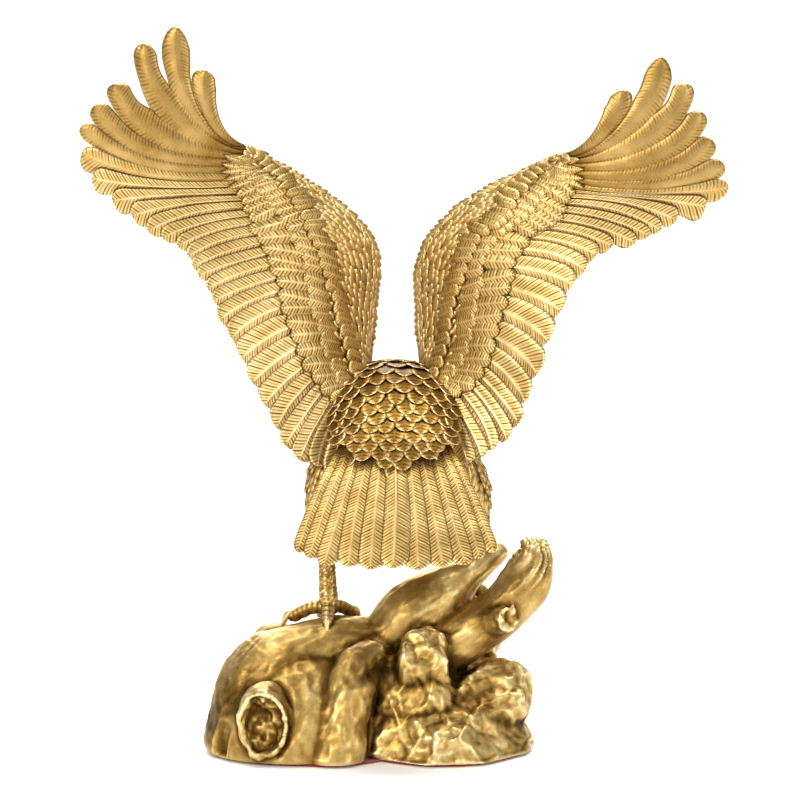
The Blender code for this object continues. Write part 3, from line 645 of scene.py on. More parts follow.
    # the front: small feathers at the arm and a row of plainer under-coverts
    steps = np.arange(3, run[-1] - 3, 4.4)
    at = np.interp(steps, run, along)
    p, q = np.meshgrid(at, np.arange(-0.005, 0.24, 0.034), indexing="ij")
    p, q = p.ravel() + 0.008 * (np.arange(p.size) % 2), q.ravel()
    keep = q < np.interp(p, span, wingLook["greaterEnd"])
    p, q = p[keep], q[keep]
    parts.append(strewFeathers(front, -turn, p, q, 0.8 + 0 * p, 8.4 + 0 * p, 5.6 + 0 * p, small, (0.3, 1.9),
                               ring=tinyVane))
    makeBirdPiece(name + "_arm", parts)
    parts = []
    for i in range(count):
        middle = (i + 0.5) / count
        end = min(0.62, float(np.interp(middle, span, wingLook["greaterEnd"])) + 0.14)
        shape = {"under": lambda a, full: 0.3 + 0 * a, "tip": 6.0, "power": 2.0, "even": 1.0}
        parts.append(layFeather(front, -turn, middle, 0.12, end, count, wingLook["underCoverts"], shape,
                                (-0.3, 0.6, 1), i, ring=smallVane))
    makeBirdPiece(name + "_under_coverts", parts)


rng = np.random.default_rng(7)
makeWing(leftWing, rng)
makeWing(rightWing, rng)
print("wings made")


# tail root to face: y, z, half width and half height
trunkLook = {
    "x": 3.5,
    "stations": ((29, 142, 19, 7), (22, 147, 24, 12.5), (11, 152, 29, 19.5), (-4, 156, 31.5, 23.5),
                 (-20, 158, 31, 23), (-35, 158, 27, 20.5), (-47, 158, 21, 18), (-57, 159, 17, 15.5),
                 (-67, 160, 15.2, 13.5), (-77, 159.5, 13, 12), (-85, 157, 7.5, 8.5)),
    "rowGap": 5.0, "faceGap": 3.1, "scaleWidth": 8.4,
    "side": {"arch": 0.2, "thick": 0.8, "barb": 0.0, "shaft": 0.08, "rows": 6, "dish": 0.25},
}
# The back from between the wings down onto the tail: y, z, half width, depth of the curve.
# Its rows of scallops are evenly spaced in height as seen from behind, and end in a V.
backLook = {
    "stations": ((-44, 177, 24, 18), (-26, 181.0, 30, 22), (-9, 181.4, 31.5, 23.5), (6, 178.0, 32.5, 22.5),
                 (18.5, 170.6, 32.5, 20), (27.5, 161.0, 32, 16.5), (34.5, 151.2, 31, 12), (39, 142.0, 29, 8),
                 (42.5, 132.5, 27, 6)),
    "around": 1.3, "lowest": 127.6, "rowGap": 4.3, "rows": 13, "wide": 8.6, "half": 32.0,
    "vTop": 150.0, "vHalf": 31.0, "vTip": 4.6,
    "seen": (0.9925, 0.122),  # a height as the camera sees it: this much of z, less this much of y
    # the scallops' bright of -0.13 is painted shade: the back is toned darker, as it lies turned away from the light
    "scallop": {"arch": -0.5, "thick": 1.0, "barb": 0.16, "shaft": 0.0, "rows": 18, "dish": 0.55, "bright": -0.13},
}
headLook = {
    "beakStart": (-80.0, 158.5), "beakLength": 18.0, "hook": 78.0,
    "eye": (13.3, -74.0, 162.6, 3.2), "clear": 5.6, "brow": 2.3,
}
backVane = ((-1, -0.75, -0.45, -0.15, 0, 0.15, 0.45, 0.75, 1), (0.7, 0, -0.7))


def trunkSheet(p, q):
    # Round the trunk by p, from the top; tail root to face by q: an ellipse across a bent
    # spine, going on straight past its ends
    p, q = np.broadcast_arrays(np.asarray(p, float), np.asarray(q, float))
    stations = np.asarray(trunkLook["stations"], float)
    along = np.linspace(0, 1, len(stations))
    past = q - np.clip(q, 0, 1)
    q = q - past
    at = smoothThrough(along, stations, q)
    ahead = smoothThrough(along, stations, np.clip(q + 0.02, 0, 1))
    behind = smoothThrough(along, stations, np.clip(q - 0.02, 0, 1))
    lean = np.arctan2(ahead[..., 1] - behind[..., 1], behind[..., 0] - ahead[..., 0])
    c, s = np.cos(2 * np.pi * p), np.sin(2 * np.pi * p)
    up = at[..., 3] * c
    return np.stack([trunkLook["x"] + at[..., 2] * s, at[..., 0] + up * np.sin(lean) - 110 * past,
                     at[..., 1] + up * np.cos(lean) + 60 * past], -1)


def makeTrunk(rng):
    # a smooth core, then rows of small feathers from the face to the tail root, each row a
    # half step round from the last
    p = np.linspace(0, 1, 64, endpoint=False)[None, :]
    q = np.linspace(0, 1, 70)[:, None]
    core, normal = sheetNormal(trunkSheet, -1, p, q)
    core = core - normal * (1.6 * np.clip((0.6 - q) / 0.15, 0, 1))[..., None]
    parts = [shellPart(core[None], np.full((1, 70, 64), 0.3))]
    qs = np.linspace(0, 1, 400)
    top = trunkSheet(0 * qs, qs)
    run = runAlong(top)
    close = np.arange(run[-1] - 22.2, run[-1] - 0.5, trunkLook["faceGap"])
    rows = np.interp(np.concatenate([np.arange(5.0, close[0] - 3.0, trunkLook["rowGap"]), close]), run, qs)
    spots = []
    for k, row in enumerate(rows):
        ring = trunkSheet(np.linspace(0, 1, 80), np.full(80, row))
        around = np.linalg.norm(np.diff(ring, axis=0), axis=1).sum()
        wide = np.interp(row, (0, 0.15, 0.5, 0.75, 1), (1.0, 1.0, 0.85, 0.62, 0.5)) * trunkLook["scaleWidth"]
        count = max(8, int(around / wide))
        spot = (np.arange(count) + 0.5 * (k % 2)) / count
        spots.append(np.stack([spot, 0 * spot + row, 0 * spot + around / count], 1))
    spots = np.concatenate(spots)
    spots[:, 0] = (spots[:, 0] + rng.uniform(-0.002, 0.002, len(spots)) + 0.5) % 1.0 - 0.5
    spots = spots[(np.abs(spots[:, 0]) > 0.22) | (spots[:, 1] > 0.40)]
    for side in (-1, 1):
        eye = np.array((trunkLook["x"] + side * headLook["eye"][0], *headLook["eye"][1:3]))
        over = trunkSheet(spots[:, 0], spots[:, 1]) + np.array((0, 2.5, 0))
        spots = spots[np.linalg.norm(over - eye, axis=1) > headLook["clear"]]
    n = len(spots)
    reach = np.interp(spots[:, 1], (0, 0.5, 0.8, 1), (10.5, 9.5, 8.0, 6.0)) * rng.uniform(0.9, 1.1, n)
    parts.append(strewFeathers(trunkSheet, -1, spots[:, 0], spots[:, 1], -math.pi / 2 + rng.uniform(-0.12, 0.12, n),
                               reach, spots[:, 2] * 1.2, trunkLook["side"], (-0.6, 1.4), tip=0.6, power=1.8))
    makeBirdPiece("trunk_side_feathers", parts)


def backSheet(p, q):
    # An arc across, by p, off a spine line that runs down the back by q: width * sin(a) to
    # the side and depth * (1 - cos(a)) inward, square to the spine line
    p, q = np.broadcast_arrays(np.asarray(p, float), np.asarray(q, float))
    stations = np.asarray(backLook["stations"], float)
    knots = np.linspace(0, 1, len(stations))
    at = smoothThrough(knots, stations, q)
    ahead, behind = smoothThrough(knots, stations, q + 0.02), smoothThrough(knots, stations, q - 0.02)
    alongY, alongZ = ahead[..., 0] - behind[..., 0], ahead[..., 1] - behind[..., 1]
    size = np.hypot(alongY, alongZ)
    angle = (2 * p - 1) * backLook["around"]
    inward = at[..., 3] * (1 - np.cos(angle))
    return np.stack([trunkLook["x"] + at[..., 2] * np.sin(angle), at[..., 0] + inward * alongZ / size,
                     at[..., 1] - inward * alongY / size], -1)


def makeBack(rng):
    # a pad that fills the back under the scallops, then the rows, a half step aside in turn
    p, q = np.linspace(0.03, 0.97, 44)[None, :], np.linspace(0.12, 1, 40)[:, None]
    down = q * (0.93 - 0.31 * np.abs(2 * p - 1) * q)
    top, normal = sheetNormal(backSheet, 1, p, down)
    top = top - 0.7 * normal
    pad = np.concatenate([top, top[:, ::-1] - np.array((0, 6.0, 5.0))], 1)
    parts = [shellPart(pad[None], np.full((1,) + pad.shape[:2], 0.3))]
    share = np.linspace(0, 1, 200)
    line = backSheet(0.5 + 0 * share, share)
    seen = backLook["seen"][0] * line[:, 2] - backLook["seen"][1] * line[:, 1]
    run = runAlong(line)
    height = backLook["lowest"] + backLook["rowGap"] * np.arange(backLook["rows"])
    rows = np.interp(-height, -seen, share)
    rows = np.concatenate([rows, [rows[-1] - 0.07, rows[-1] - 0.14]])
    gaps = -np.gradient(np.interp(rows, share, run))
    step = backLook["wide"] / backLook["half"] / (2 * backLook["around"])
    spots = []
    for k, (row, gap) in enumerate(zip(rows, gaps)):
        count = int(0.5 / step)
        p = 0.5 + step * (np.arange(-count, count + 1) + 0.5 * (k % 2))
        level = backLook["lowest"] + backLook["rowGap"] * k
        rise = level - backLook["lowest"]
        reach = backLook["vTip"] + backLook["vHalf"] * rise / (backLook["vTop"] - backLook["lowest"])
        aside = np.abs(backLook["half"] * np.sin((2 * p - 1) * backLook["around"]))
        p = p[(aside < reach) & (p > 0.02) & (p < 0.98)]
        spots.append(np.stack([p, 0 * p + row, 0 * p + np.clip(2.3 * gap, 9.0, 15.0)], 1))
    spots = np.concatenate(spots)
    n = len(spots)
    spots[:, :2] += rng.uniform(-0.010, 0.010, (n, 2))
    parts.append(strewFeathers(backSheet, 1, spots[:, 0], spots[:, 1], math.pi / 2 + rng.uniform(-0.16, 0.16, n),
                               spots[:, 2] * rng.uniform(0.94, 1.08, n), backLook["wide"] * rng.uniform(1.0, 1.18, n),
                               backLook["scallop"], (-0.2, 1.9), ring=backVane, tip=0.42, power=1.9, fromTip=True))
    makeBirdPiece("back_feathers", parts)


def sweepPart(path, rows, around, squash, relief, wornAndShaded, up=(0, 0, 1)):
    # A limb: rings of radius r across a path of x y z r, with relief(along mm, angle, share)
    # added to the radius; angle 0 is the side that faces up
    path = np.asarray(path, float)
    share = np.linspace(0, 1, rows)
    at = smoothThrough(np.linspace(0, 1, len(path)), path, share)
    centre, radius = at[:, :3], at[:, 3]
    tangent = np.gradient(centre, axis=0)
    tangent /= np.linalg.norm(tangent, axis=1, keepdims=True)
    side = np.cross(tangent, np.array(up, float))
    side /= np.maximum(np.linalg.norm(side, axis=1, keepdims=True), 1e-6)
    over = np.cross(side, tangent)
    run = runAlong(centre)
    angle = np.linspace(0, 2 * np.pi, around, endpoint=False)[None, :]
    extra = relief(run[:, None], angle, share[:, None])
    r = radius[:, None] + extra
    points = (centre[:, None] + side[:, None] * (r * np.sin(angle))[..., None]
              + over[:, None] * (r * squash * np.cos(angle))[..., None])
    return shellPart(points[None], np.clip(wornAndShaded + 0.9 * extra, 0, 1)[None])


def plainSkin(along, angle, share):
    # no relief
    return 0 * (along + angle + share)


def makeHead():
    # The beak: rings whose width and height fall from the face to the hook, along an arc that
    # turns down by hook * share^1.8. The eyes are balls under a brow that runs to the beak.
    x0, parts = trunkLook["x"], []
    y0, z0 = headLook["beakStart"]
    length = headLook["beakLength"]
    share = np.linspace(0, 1.1, 40)[:, None]
    angle = np.linspace(0, 2 * np.pi, 32, endpoint=False)[None, :]
    for upper in (True, False):
        wide = np.interp(share, (0, 0.3, 0.6, 0.9, 1.1), (6.6, 6.0, 4.2, 2.0, 0.35)) * (1.0 if upper else 0.86)
        high = np.interp(share, (0, 0.3, 0.6, 0.9, 1.1), (7.4, 6.8, 5.2, 2.8, 0.5))
        bend = np.radians(headLook["hook"] * (1.0 if upper else 0.35)) * share ** 1.8
        reach = length * (1.0 if upper else 0.78)
        y = y0 - reach * share * np.cos(bend * 0.55)
        z = z0 - reach * (0.62 if upper else 0.30) * share ** 2.2 - (0 if upper else 3.4)
        c, s = np.cos(angle), np.sin(angle)
        up = high * np.where(c > 0, c, c * (0.55 if upper else 0.6)) * (1 if upper else 0.55)
        across = wide * np.sign(s) * np.abs(s) ** 0.85
        cere = 0.5 * np.exp(-((share - 0.16) / 0.1) ** 2) if upper else 0.0
        nostril = -1.0 * np.exp(-((share - 0.2) / 0.045) ** 2) * np.exp(-((np.abs(s) - 0.85) / 0.12) ** 2) * (c > 0)
        nostril = nostril if upper else 0.0
        across = across * (1 + (cere + nostril) / wide)
        points = np.stack([x0 + across + 0 * share, y - up * np.sin(bend) * 0.6, z + up * np.cos(bend)], -1)
        # the upper beak is painted lighter along its top and darker below, as painted top light and shade; the
        # nostrils are darker
        shade = 0.62 + 0.9 * nostril + 0.25 * c + 0 * share if upper else 0.5 + 0 * (share + angle)
        parts.append(shellPart(points[None], np.clip(shade + 0 * points[..., 0], 0, 1)[None]))
    ex, ey, ez, er = headLook["eye"]
    for side in (-1, 1):
        a = np.linspace(0.06, math.pi - 0.06, 18)[:, None]
        ball = np.stack([x0 + side * (ex + er * np.cos(a)) + 0 * angle, ey + er * np.sin(a) * np.cos(angle),
                         ez + er * np.sin(a) * np.sin(angle)], -1)
        pupil = 0.75 - 0.6 * np.exp(-(a / 0.5) ** 4) + 0 * angle
        parts.append(shellPart(ball[None], pupil[None]))
        brow = ((x0 + side * 12.8, ey + 8.5, ez + 4.8, 1.2), (x0 + side * 14.8, ey + 2.5, ez + 4.6, headLook["brow"]),
                (x0 + side * 14.0, ey - 4.0, ez + 3.2, 2.0), (x0 + side * 9.6, ey - 9.0, ez + 1.4, 1.0))
        parts.append(sweepPart(brow, 24, 14, 0.7, plainSkin, 0.7))
        lid = ((x0 + side * 14.4, ey + 4.2, ez - 0.2, 0.8), (x0 + side * 15.0, ey + 1.6, ez - 2.9, 1.0),
               (x0 + side * 14.6, ey - 2.6, ez - 2.7, 1.0), (x0 + side * 12.6, ey - 4.8, ez - 0.2, 0.7))
        parts.append(sweepPart(lid, 18, 10, 0.8, plainSkin, 0.6))
    makeBirdPiece("beak_and_eyes", parts)


makeTrunk(rng)
makeBack(rng)
makeHead()
print("trunk and head made")


tailLook = {
    "feathers": 11, "root": (26.0, 150.0), "tip": (63.0, 97.0), "rootHalf": 22.0, "tipHalf": 49.0,
    "feather": {"step": 1.15, "arch": 0.5, "thick": 1.3, "barb": 0.34, "shaft": 0.45, "pitch": 1.55, "slant": 0.95,
                "bright": -0.06},
}


def tailSheet(p, q):
    # a fan, wider feathers in the middle: half width from root to tip by q^0.9, sloping back
    # and down, its sides held forward
    p, q = np.broadcast_arrays(np.asarray(p, float), np.asarray(q, float))
    side = (2 * p - 1) * (1.22 - 0.22 * (2 * p - 1) ** 2)
    s = np.clip(q, 0, 1)
    half = tailLook["rootHalf"] + (tailLook["tipHalf"] - tailLook["rootHalf"]) * s ** 0.9
    (y0, z0), (y1, z1) = tailLook["root"], tailLook["tip"]
    lift = 2.0 * (1 - np.abs(side))
    return np.stack([trunkLook["x"] + side * half, y0 + (y1 - y0) * q - 5 * side ** 2 + lift,
                     z0 + (z1 - z0) * q + 3 * np.sin(np.pi * s) + 0.6 * lift], -1)


def makeTail():
    count, spec = tailLook["feathers"], tailLook["feather"]
    parts, centre = [], tailLook["feathers"] // 2
    for i in range(count):
        aside = (i - centre) / centre
        middle = (i + 0.5) / count
        end = 1.035 - 0.12 * abs(aside) ** 2.4 + (0.008, -0.006, 0.004, -0.008)[i % 4]
        look = dict(spec, step=spec["step"] if aside else 0.0, shaft=spec["shaft"] * (0.35 if aside else 1.3))
        shape = {"under": lambda a, full: 0.34 * np.clip(1.6 - a / full, 0.5, 1), "tip": 6.5, "power": 2.0,
                 "even": 0.8, "bend": 0.9 * math.sin(i * 2.1)}
        base = (0.6, 1.3, 3) if aside else (1.5, 2.0, 3)
        sheet = tailSheet if aside >= 0 else (lambda p, q: tailSheet(1 - p, q))
        place = middle if aside >= 0 else 1 - middle
        parts.append(layFeather(sheet, 1 if aside >= 0 else -1, place, 0.0, end, count, look, shape, base, i * 1.9))
    makeBirdPiece("tail_feathers", parts)


makeTail()
print("tail made")


# Thighs as x y z radius down their middle; each toe's direction x y, reach, drop and how far
# its claw runs on before it points down
legLook = {
    "leftThigh": ((20, -4, 146, 15), (30, -4, 134, 14), (36, -3, 120, 9.5), (37, -2, 106, 6.5)),
    "rightThigh": ((-14, -8, 146, 15), (-24, -10, 134, 14), (-32, -13, 120, 10), (-34, -16, 108, 6.5)),
    "slim": 0.86,
    "tuft": {"arch": 0.8, "thick": 0.9, "barb": 0.2, "shaft": 0.2, "rows": 9, "bright": -0.06},
    "tuftLength": 12.5, "tuftWidth": 5.8,
    "shank": 4.2, "toe": 3.4, "claw": 11.0, "scute": 2.5,
    "left": {"ankle": (37, -2, 110), "sole": (35, 1, 63.5), "toes": (
        (1, -0.15, 17, 3, 0.5), (0.25, -1, 15, 4, 0.5), (-0.9, -0.7, 13, 2, 0.5), (0.05, 1, 10, 3, 0.25))},
    "right": {"ankle": (-34, -17, 112), "sole": (-31, -24, 68.0), "toes": (
        (-1, -0.4, 13, 5, 0.5), (-0.25, -1, 15, 7, 0.5), (0.9, -0.6, 14, 3, 0.5), (0.2, 1, 9, 3, 0.3))},
}


def thighSheet(points):
    # level ellipses, r by 1.15 r, round a path that runs down the thigh
    points = np.asarray(points, float)
    knots = np.linspace(0, 1, len(points))

    def at(p, q):
        p, q = np.broadcast_arrays(np.asarray(p, float), np.asarray(q, float))
        row = smoothThrough(knots, points, np.clip(q, 0, 1))
        turn = 2 * np.pi * p
        drop = np.clip(q - 1, 0, 1) * 40
        wide = row[..., 3] * legLook["slim"]
        return np.stack([row[..., 0] + wide * np.cos(turn), row[..., 1] + 1.15 * wide * np.sin(turn),
                         row[..., 2] - drop], -1)

    return at


def makeThighs(rng):
    # a smooth core to each thigh under rows of long ragged tufts that point down
    parts = []
    for points in (legLook["leftThigh"], legLook["rightThigh"]):
        sheet = thighSheet(points)
        p = np.linspace(0, 1, 36, endpoint=False)[None, :]
        q = np.linspace(0, 1, 26)[:, None]
        parts.append(shellPart(sheet(p, q)[None], np.full((1, 26, 36), 0.3)))
        spots = []
        for k, row in enumerate(np.linspace(0.1, 0.82, 8)):
            count = 15 if row < 0.6 else 12
            spot = (np.arange(count) + 0.5 * (k % 2)) / count
            spots.append(np.stack([spot, 0 * spot + row], 1))
        spots = np.concatenate(spots)
        n = len(spots)
        spots[:, 0] += rng.uniform(-0.01, 0.01, n)
        heading = math.pi / 2 + rng.uniform(-0.25, 0.25, n)
        length = legLook["tuftLength"] * rng.uniform(0.85, 1.2, n)
        width = legLook["tuftWidth"] * rng.uniform(0.85, 1.2, n)
        parts.append(strewFeathers(sheet, -1, spots[:, 0], spots[:, 1], heading, length, width, legLook["tuft"],
                                   (-0.6, 2.3), tip=0.8, power=1.25))
    makeBirdPiece("thigh_feathers", parts)


def makeFeet():
    # Shanks with pebbled skin, toes with a row of scutes on top and pads below, bent claws
    shank, toe, claw, scute = (legLook[k] for k in ("shank", "toe", "claw", "scute"))
    parts = []

    def pebbled(a, t, s):
        spots = np.stack([a + 0 * t, t * shank + 0 * a, 0 * (a + t)], -1)
        gap = cellGap(spots, 1.7, 5)
        front = np.clip(-np.cos(t), 0, 1)
        plates = 0.45 * np.abs(np.sin(np.pi * a / 3.2)) ** 0.5 * front
        return 0.5 * np.clip(gap * 2.4, 0, 1) * (1 - front) + plates - 0.3

    def scutes(a, t, s):
        over = np.clip(np.cos(t) + 0.25, 0, 1)
        under = np.clip(-np.cos(t), 0, 1)
        plate = np.abs(np.sin(np.pi * a / scute)) ** 0.45
        return 0.55 * plate * over + 0.5 * np.abs(np.sin(np.pi * a / 5.0)) * under - 0.4

    for side in ("left", "right"):
        foot = legLook[side]
        sx, sy, sz = foot["sole"]
        ankle = foot["ankle"]
        halfway = 0.5 * (np.array(ankle) + foot["sole"])
        parts.append(sweepPart(((*ankle, shank * 1.3), (*halfway, shank), (sx, sy, sz + 3, shank * 1.15)),
                               76, 36, 1.0, pebbled, 0.5, up=(0, 1, 0)))
        for dx, dy, reach, drop, curl in foot["toes"]:
            ahead = np.array((dx, dy)) / math.hypot(dx, dy)
            knuckle = np.array((sx, sy)) + ahead * reach * 0.45
            end = np.array((sx, sy)) + ahead * reach
            tip = end + ahead * claw * curl
            level, fall = sz - drop, claw * (1.02 - curl)
            digit = ((sx, sy, sz + 2.0, toe * 1.05), (*knuckle, sz + 3.2 - drop * 0.25, toe),
                     (*end, level + 1.0, toe * 0.92), (*(end + ahead * 2.2), level - 0.5, toe * 0.5))
            parts.append(sweepPart(digit, 60, 26, 0.95, scutes, 0.5))
            nail = ((*(end - ahead), level + 2.2, toe * 0.66), (*(end * 0.45 + tip * 0.55), level + 1.4, toe * 0.5),
                    (*(end * 0.08 + tip * 0.92), level - fall * 0.45, toe * 0.3), (*tip, level - fall, toe * 0.05))
            parts.append(sweepPart(nail, 24, 16, 1.15, plainSkin, 0.8))
    makeBirdPiece("feet", parts)


makeThighs(rng)
makeFeet()
print("legs and feet made")


# The base: limbs as x y z radius along their middle, with "up" as their top side. Its skin is
# remeshed at voxel mm; the bark's folds and the pebbling are that high.
baseLook = {
    "roughVoxel": 1.2, "voxel": 0.85, "ground": 1.3, "fold": 1.25, "pebble": 0.10, "up": (0.1, 0.2, 1.0),
    "limbs": {
        "log": ((68, 14, 10, 24), (62, 10, 30, 24), (50, 6, 39, 20.5), (32, 3, 47, 15.5), (10, 0, 49, 13),
                (-3, -2, 62, 15), (-16, -5, 70, 14), (-28, -8, 78, 9.5), (-38, -11, 85, 6.2), (-46, -13, 89.5, 5.2),
                (-50.5, -14, 90.5, 2.4)),
        "near_root": ((14, 12, 46, 9), (23, 27, 38, 11), (28, 34, 20, 12.5), (32, 36, -4, 15)),
        "far_root": ((34, -4, 40, 13), (40, -20, 30, 13), (46, -30, 12, 13), (48, -33, -4, 15)),
        "stump": ((-8, 2, 36, 14), (-25, 4, 50, 12.5), (-45, 5, 64, 11.8), (-58, 5, 79, 12), (-61, 4, 92, 8.6),
                  (-60, 4, 97, 5.2)),
        "cut_stub": ((-41, 9, 61, 8), (-46, 15, 63.5, 6.4), (-50, 21, 64.7, 5.8)),
        "perch": ((-2, -14, 42, 15), (-18, -20, 50, 14), (-33, -23, 53.5, 13), (-44, -19.5, 49, 11.4),
                  (-48, -18, 46.5, 7.5)),
    },
    # name: centre, half sizes, turn, faces (direction, reach)
    "masses": {
        "root_mass": ((50, 15, 2), (43, 32, 47), 0.0, ()),
        "knot": ((63.5, 38, 20.5), (13.0, 17, 18.0), 0.0, (((0.12, 1, 0.05), 0.78),)),
        "shoulder": ((60, -8, 40), (15, 15, 17), 0.0, ()),
        "heart": ((14, 2, 24), (40, 24, 30), 0.0, ()),
        "great_rock": ((-20, 24, 8), (41, 28, 28), 0.12, (((0.15, 0.6, 1), 0.66), ((1, 0.9, 0.4), 0.7),
                                                          ((-1, 0.9, 0.5), 0.7), ((0, 1, -0.1), 0.86))),
        "middle_rock": ((-6, 17, 29), (25, 20, 22), -0.2, (((0.3, 1, 0.5), 0.7), ((-1, 0.3, 0.5), 0.75))),
        "pinnacle": ((-11, 21, 45), (16, 13, 16.5), 0.4, (((0.3, 0.8, 0.7), 0.7), ((-1, 0.5, 0.2), 0.72))),
        "corner_rock": ((-41, 12, 26), (22, 18, 19), -0.2, (((-0.3, 0.7, 0.7), 0.62), ((-1, 0.1, 0.15), 0.84),
                                                            ((0.5, 0, 1), 0.7))),
        "low_rock": ((-49, 13, 4), (13, 15, 12), 0.0, ()),
        "front_rock": ((-16, -27, 18), (36, 21, 30), -0.1, (((0.2, -0.6, 1), 0.65), ((-1, -0.8, 0.3), 0.7),
                                                            ((1, -0.8, 0.3), 0.72))),
        "foot_rock": ((-24, -4, 0), (40, 30, 16), 0.0, ()),
        "front_corner": ((18, -27, 12), (26, 20, 24), 0.3, (((0.4, -0.7, 0.6), 0.65), ((-0.6, -1, 0.2), 0.7))),
    },
    "rooty": ("root_mass", "knot", "shoulder", "heart"),  # the first masses; the others are stone
    "hollow": ((65, 53, 20), (11.2, 15, 15.4)),
    # a pocket under the log's crotch, pressed in and painted dark as shade: x, z, half sizes, depth
    "pocket": (14, 42, 6.5, 4.5, 3.2),
    # chipped stone: height, size across, shift and seed of each set of facets
    "chips": ((3.2, 17.0, 0.0, 20), (1.5, 7.2, 5.0, 21), (0.4, 3.2, 0.0, 23)),
    "flute": 1.5, "splinter": 2.6, "torn": 1.5, "flank": 1.15, "layer": 1.6,
    "lip": 1.3, "moat": 0.8,
}


def ballPart(centre, half, turn=0.0, faces=(), rows=40, around=56):
    # an ellipsoid whose points past each facing plane are pressed back onto it
    a = np.linspace(0.05, math.pi - 0.05, rows)[:, None]
    t = np.linspace(0, 2 * math.pi, around, endpoint=False)[None, :]
    unit = np.stack([np.sin(a) * np.cos(t), np.sin(a) * np.sin(t), np.cos(a) + 0 * t], -1)
    for direction, reach in faces:
        n = np.array(direction, float)
        n /= np.linalg.norm(n)
        over = np.clip(unit @ n - reach, 0, None)
        unit = unit - n * (over * 0.94)[..., None]
    p = unit * np.array(half, float)
    c, s = math.cos(turn), math.sin(turn)
    p = np.stack([p[..., 0] * c - p[..., 1] * s, p[..., 0] * s + p[..., 1] * c, p[..., 2]], -1)
    return shellPart((p + np.array(centre, float))[None], np.full((1, rows, around), 0.5))


def rawObject(name, parts):
    # a helper mesh from closed parts, before it is fused
    vertices, faces, start = [], [], 0
    for points, quads, fans, _ in parts:
        if enclosed(points, quads, fans) < 0:
            quads, fans = quads[:, ::-1], fans[:, ::-1]
        vertices.append(points)
        faces += (quads + start).tolist() + (fans + start).tolist()
        start += len(points)
    mesh = bpy.data.meshes.new(name)
    mesh.from_pydata((np.concatenate(vertices) * millimetre).tolist(), [], faces)
    mesh.validate()
    obj = bpy.data.objects.new(name, mesh)
    bpy.context.scene.collection.objects.link(obj)
    return obj


def fused(obj, voxel):
    # the object's mesh after its modifiers and a voxel remesh, as points and quads in mm
    remesh = obj.modifiers.new("fuse", "REMESH")
    remesh.mode = "VOXEL"
    remesh.voxel_size = voxel * millimetre
    shown = obj.evaluated_get(bpy.context.evaluated_depsgraph_get())
    mesh = bpy.data.meshes.new_from_object(shown)
    points = np.empty(len(mesh.vertices) * 3, np.float32)
    mesh.vertices.foreach_get("co", points)
    corners = np.empty(len(mesh.loops), np.int32)
    mesh.loops.foreach_get("vertex_index", corners)
    bpy.data.meshes.remove(mesh)
    return points.reshape(-1, 3).astype(float) / millimetre, corners.reshape(-1, 4)


def pointNormals(points, quads):
    # the mean of the faces' cross products at each point
    across = np.cross(points[quads[:, 2]] - points[quads[:, 0]], points[quads[:, 3]] - points[quads[:, 1]])
    normal = np.zeros_like(points)
    for k in range(4):
        np.add.at(normal, quads[:, k], across)
    return normal / np.maximum(np.linalg.norm(normal, axis=1, keepdims=True), 1e-9)


def ridges(points, quads, normal, rounds):
    # How far each point stands proud of the surface smoothed by that many rounds, in mm
    ends = np.concatenate([quads[:, [k, (k + 1) % 4]] for k in range(4)])
    count = np.zeros(len(points))
    np.add.at(count, ends[:, 0], 1)
    smooth, found = points.copy(), []
    for k in range(1, max(rounds) + 1):
        total = np.stack([np.bincount(ends[:, 0], smooth[ends[:, 1], axis], len(points)) for axis in range(3)], 1)
        smooth = 0.5 * smooth + 0.5 * total / np.maximum(count, 1)[:, None]
        if k in rounds:
            found.append(((points - smooth) * normal).sum(1))
    return found


def limbField(points, path):
    # distance to a limb's skin, and where that is: mm along it, the angle round it, the
    # distance from its middle line, its direction there, and its whole length
    path = np.asarray(path, float)
    at = smoothThrough(np.linspace(0, 1, len(path)), path, np.linspace(0, 1, 70))
    far = np.linalg.norm(points[:, None] - at[None, :, :3], axis=2) - at[None, :, 3]
    near = far.argmin(axis=1)
    run = runAlong(at[:, :3])
    tangent = np.gradient(at[:, :3], axis=0)
    tangent /= np.linalg.norm(tangent, axis=1, keepdims=True)
    off = points - at[near, :3]
    along = run[near] + (off * tangent[near]).sum(1)
    side = np.cross(tangent[near], np.array(baseLook["up"]))
    side /= np.linalg.norm(side, axis=1, keepdims=True)
    over = np.cross(side, tangent[near])
    angle = np.arctan2((off * side).sum(1), (off * over).sum(1))
    aside = np.hypot((off * side).sum(1), (off * over).sum(1))
    return far.min(axis=1), along, angle, aside, tangent[near], run[-1]


def massField(points, centre, half, turn, faces):
    # rough distance to a faced ellipsoid: (|p / half| - 1) * least half size, or past a face
    p = points - np.array(centre, float)
    c, s = math.cos(turn), math.sin(turn)
    p = np.stack([p[:, 0] * c + p[:, 1] * s, -p[:, 0] * s + p[:, 1] * c, p[:, 2]], 1) / np.array(half, float)
    depth = np.linalg.norm(p, axis=1) - 1
    for direction, reach in faces:
        n = np.array(direction, float)
        depth = np.maximum(depth, p @ (n / np.linalg.norm(n)) - reach)
    return depth * min(half)


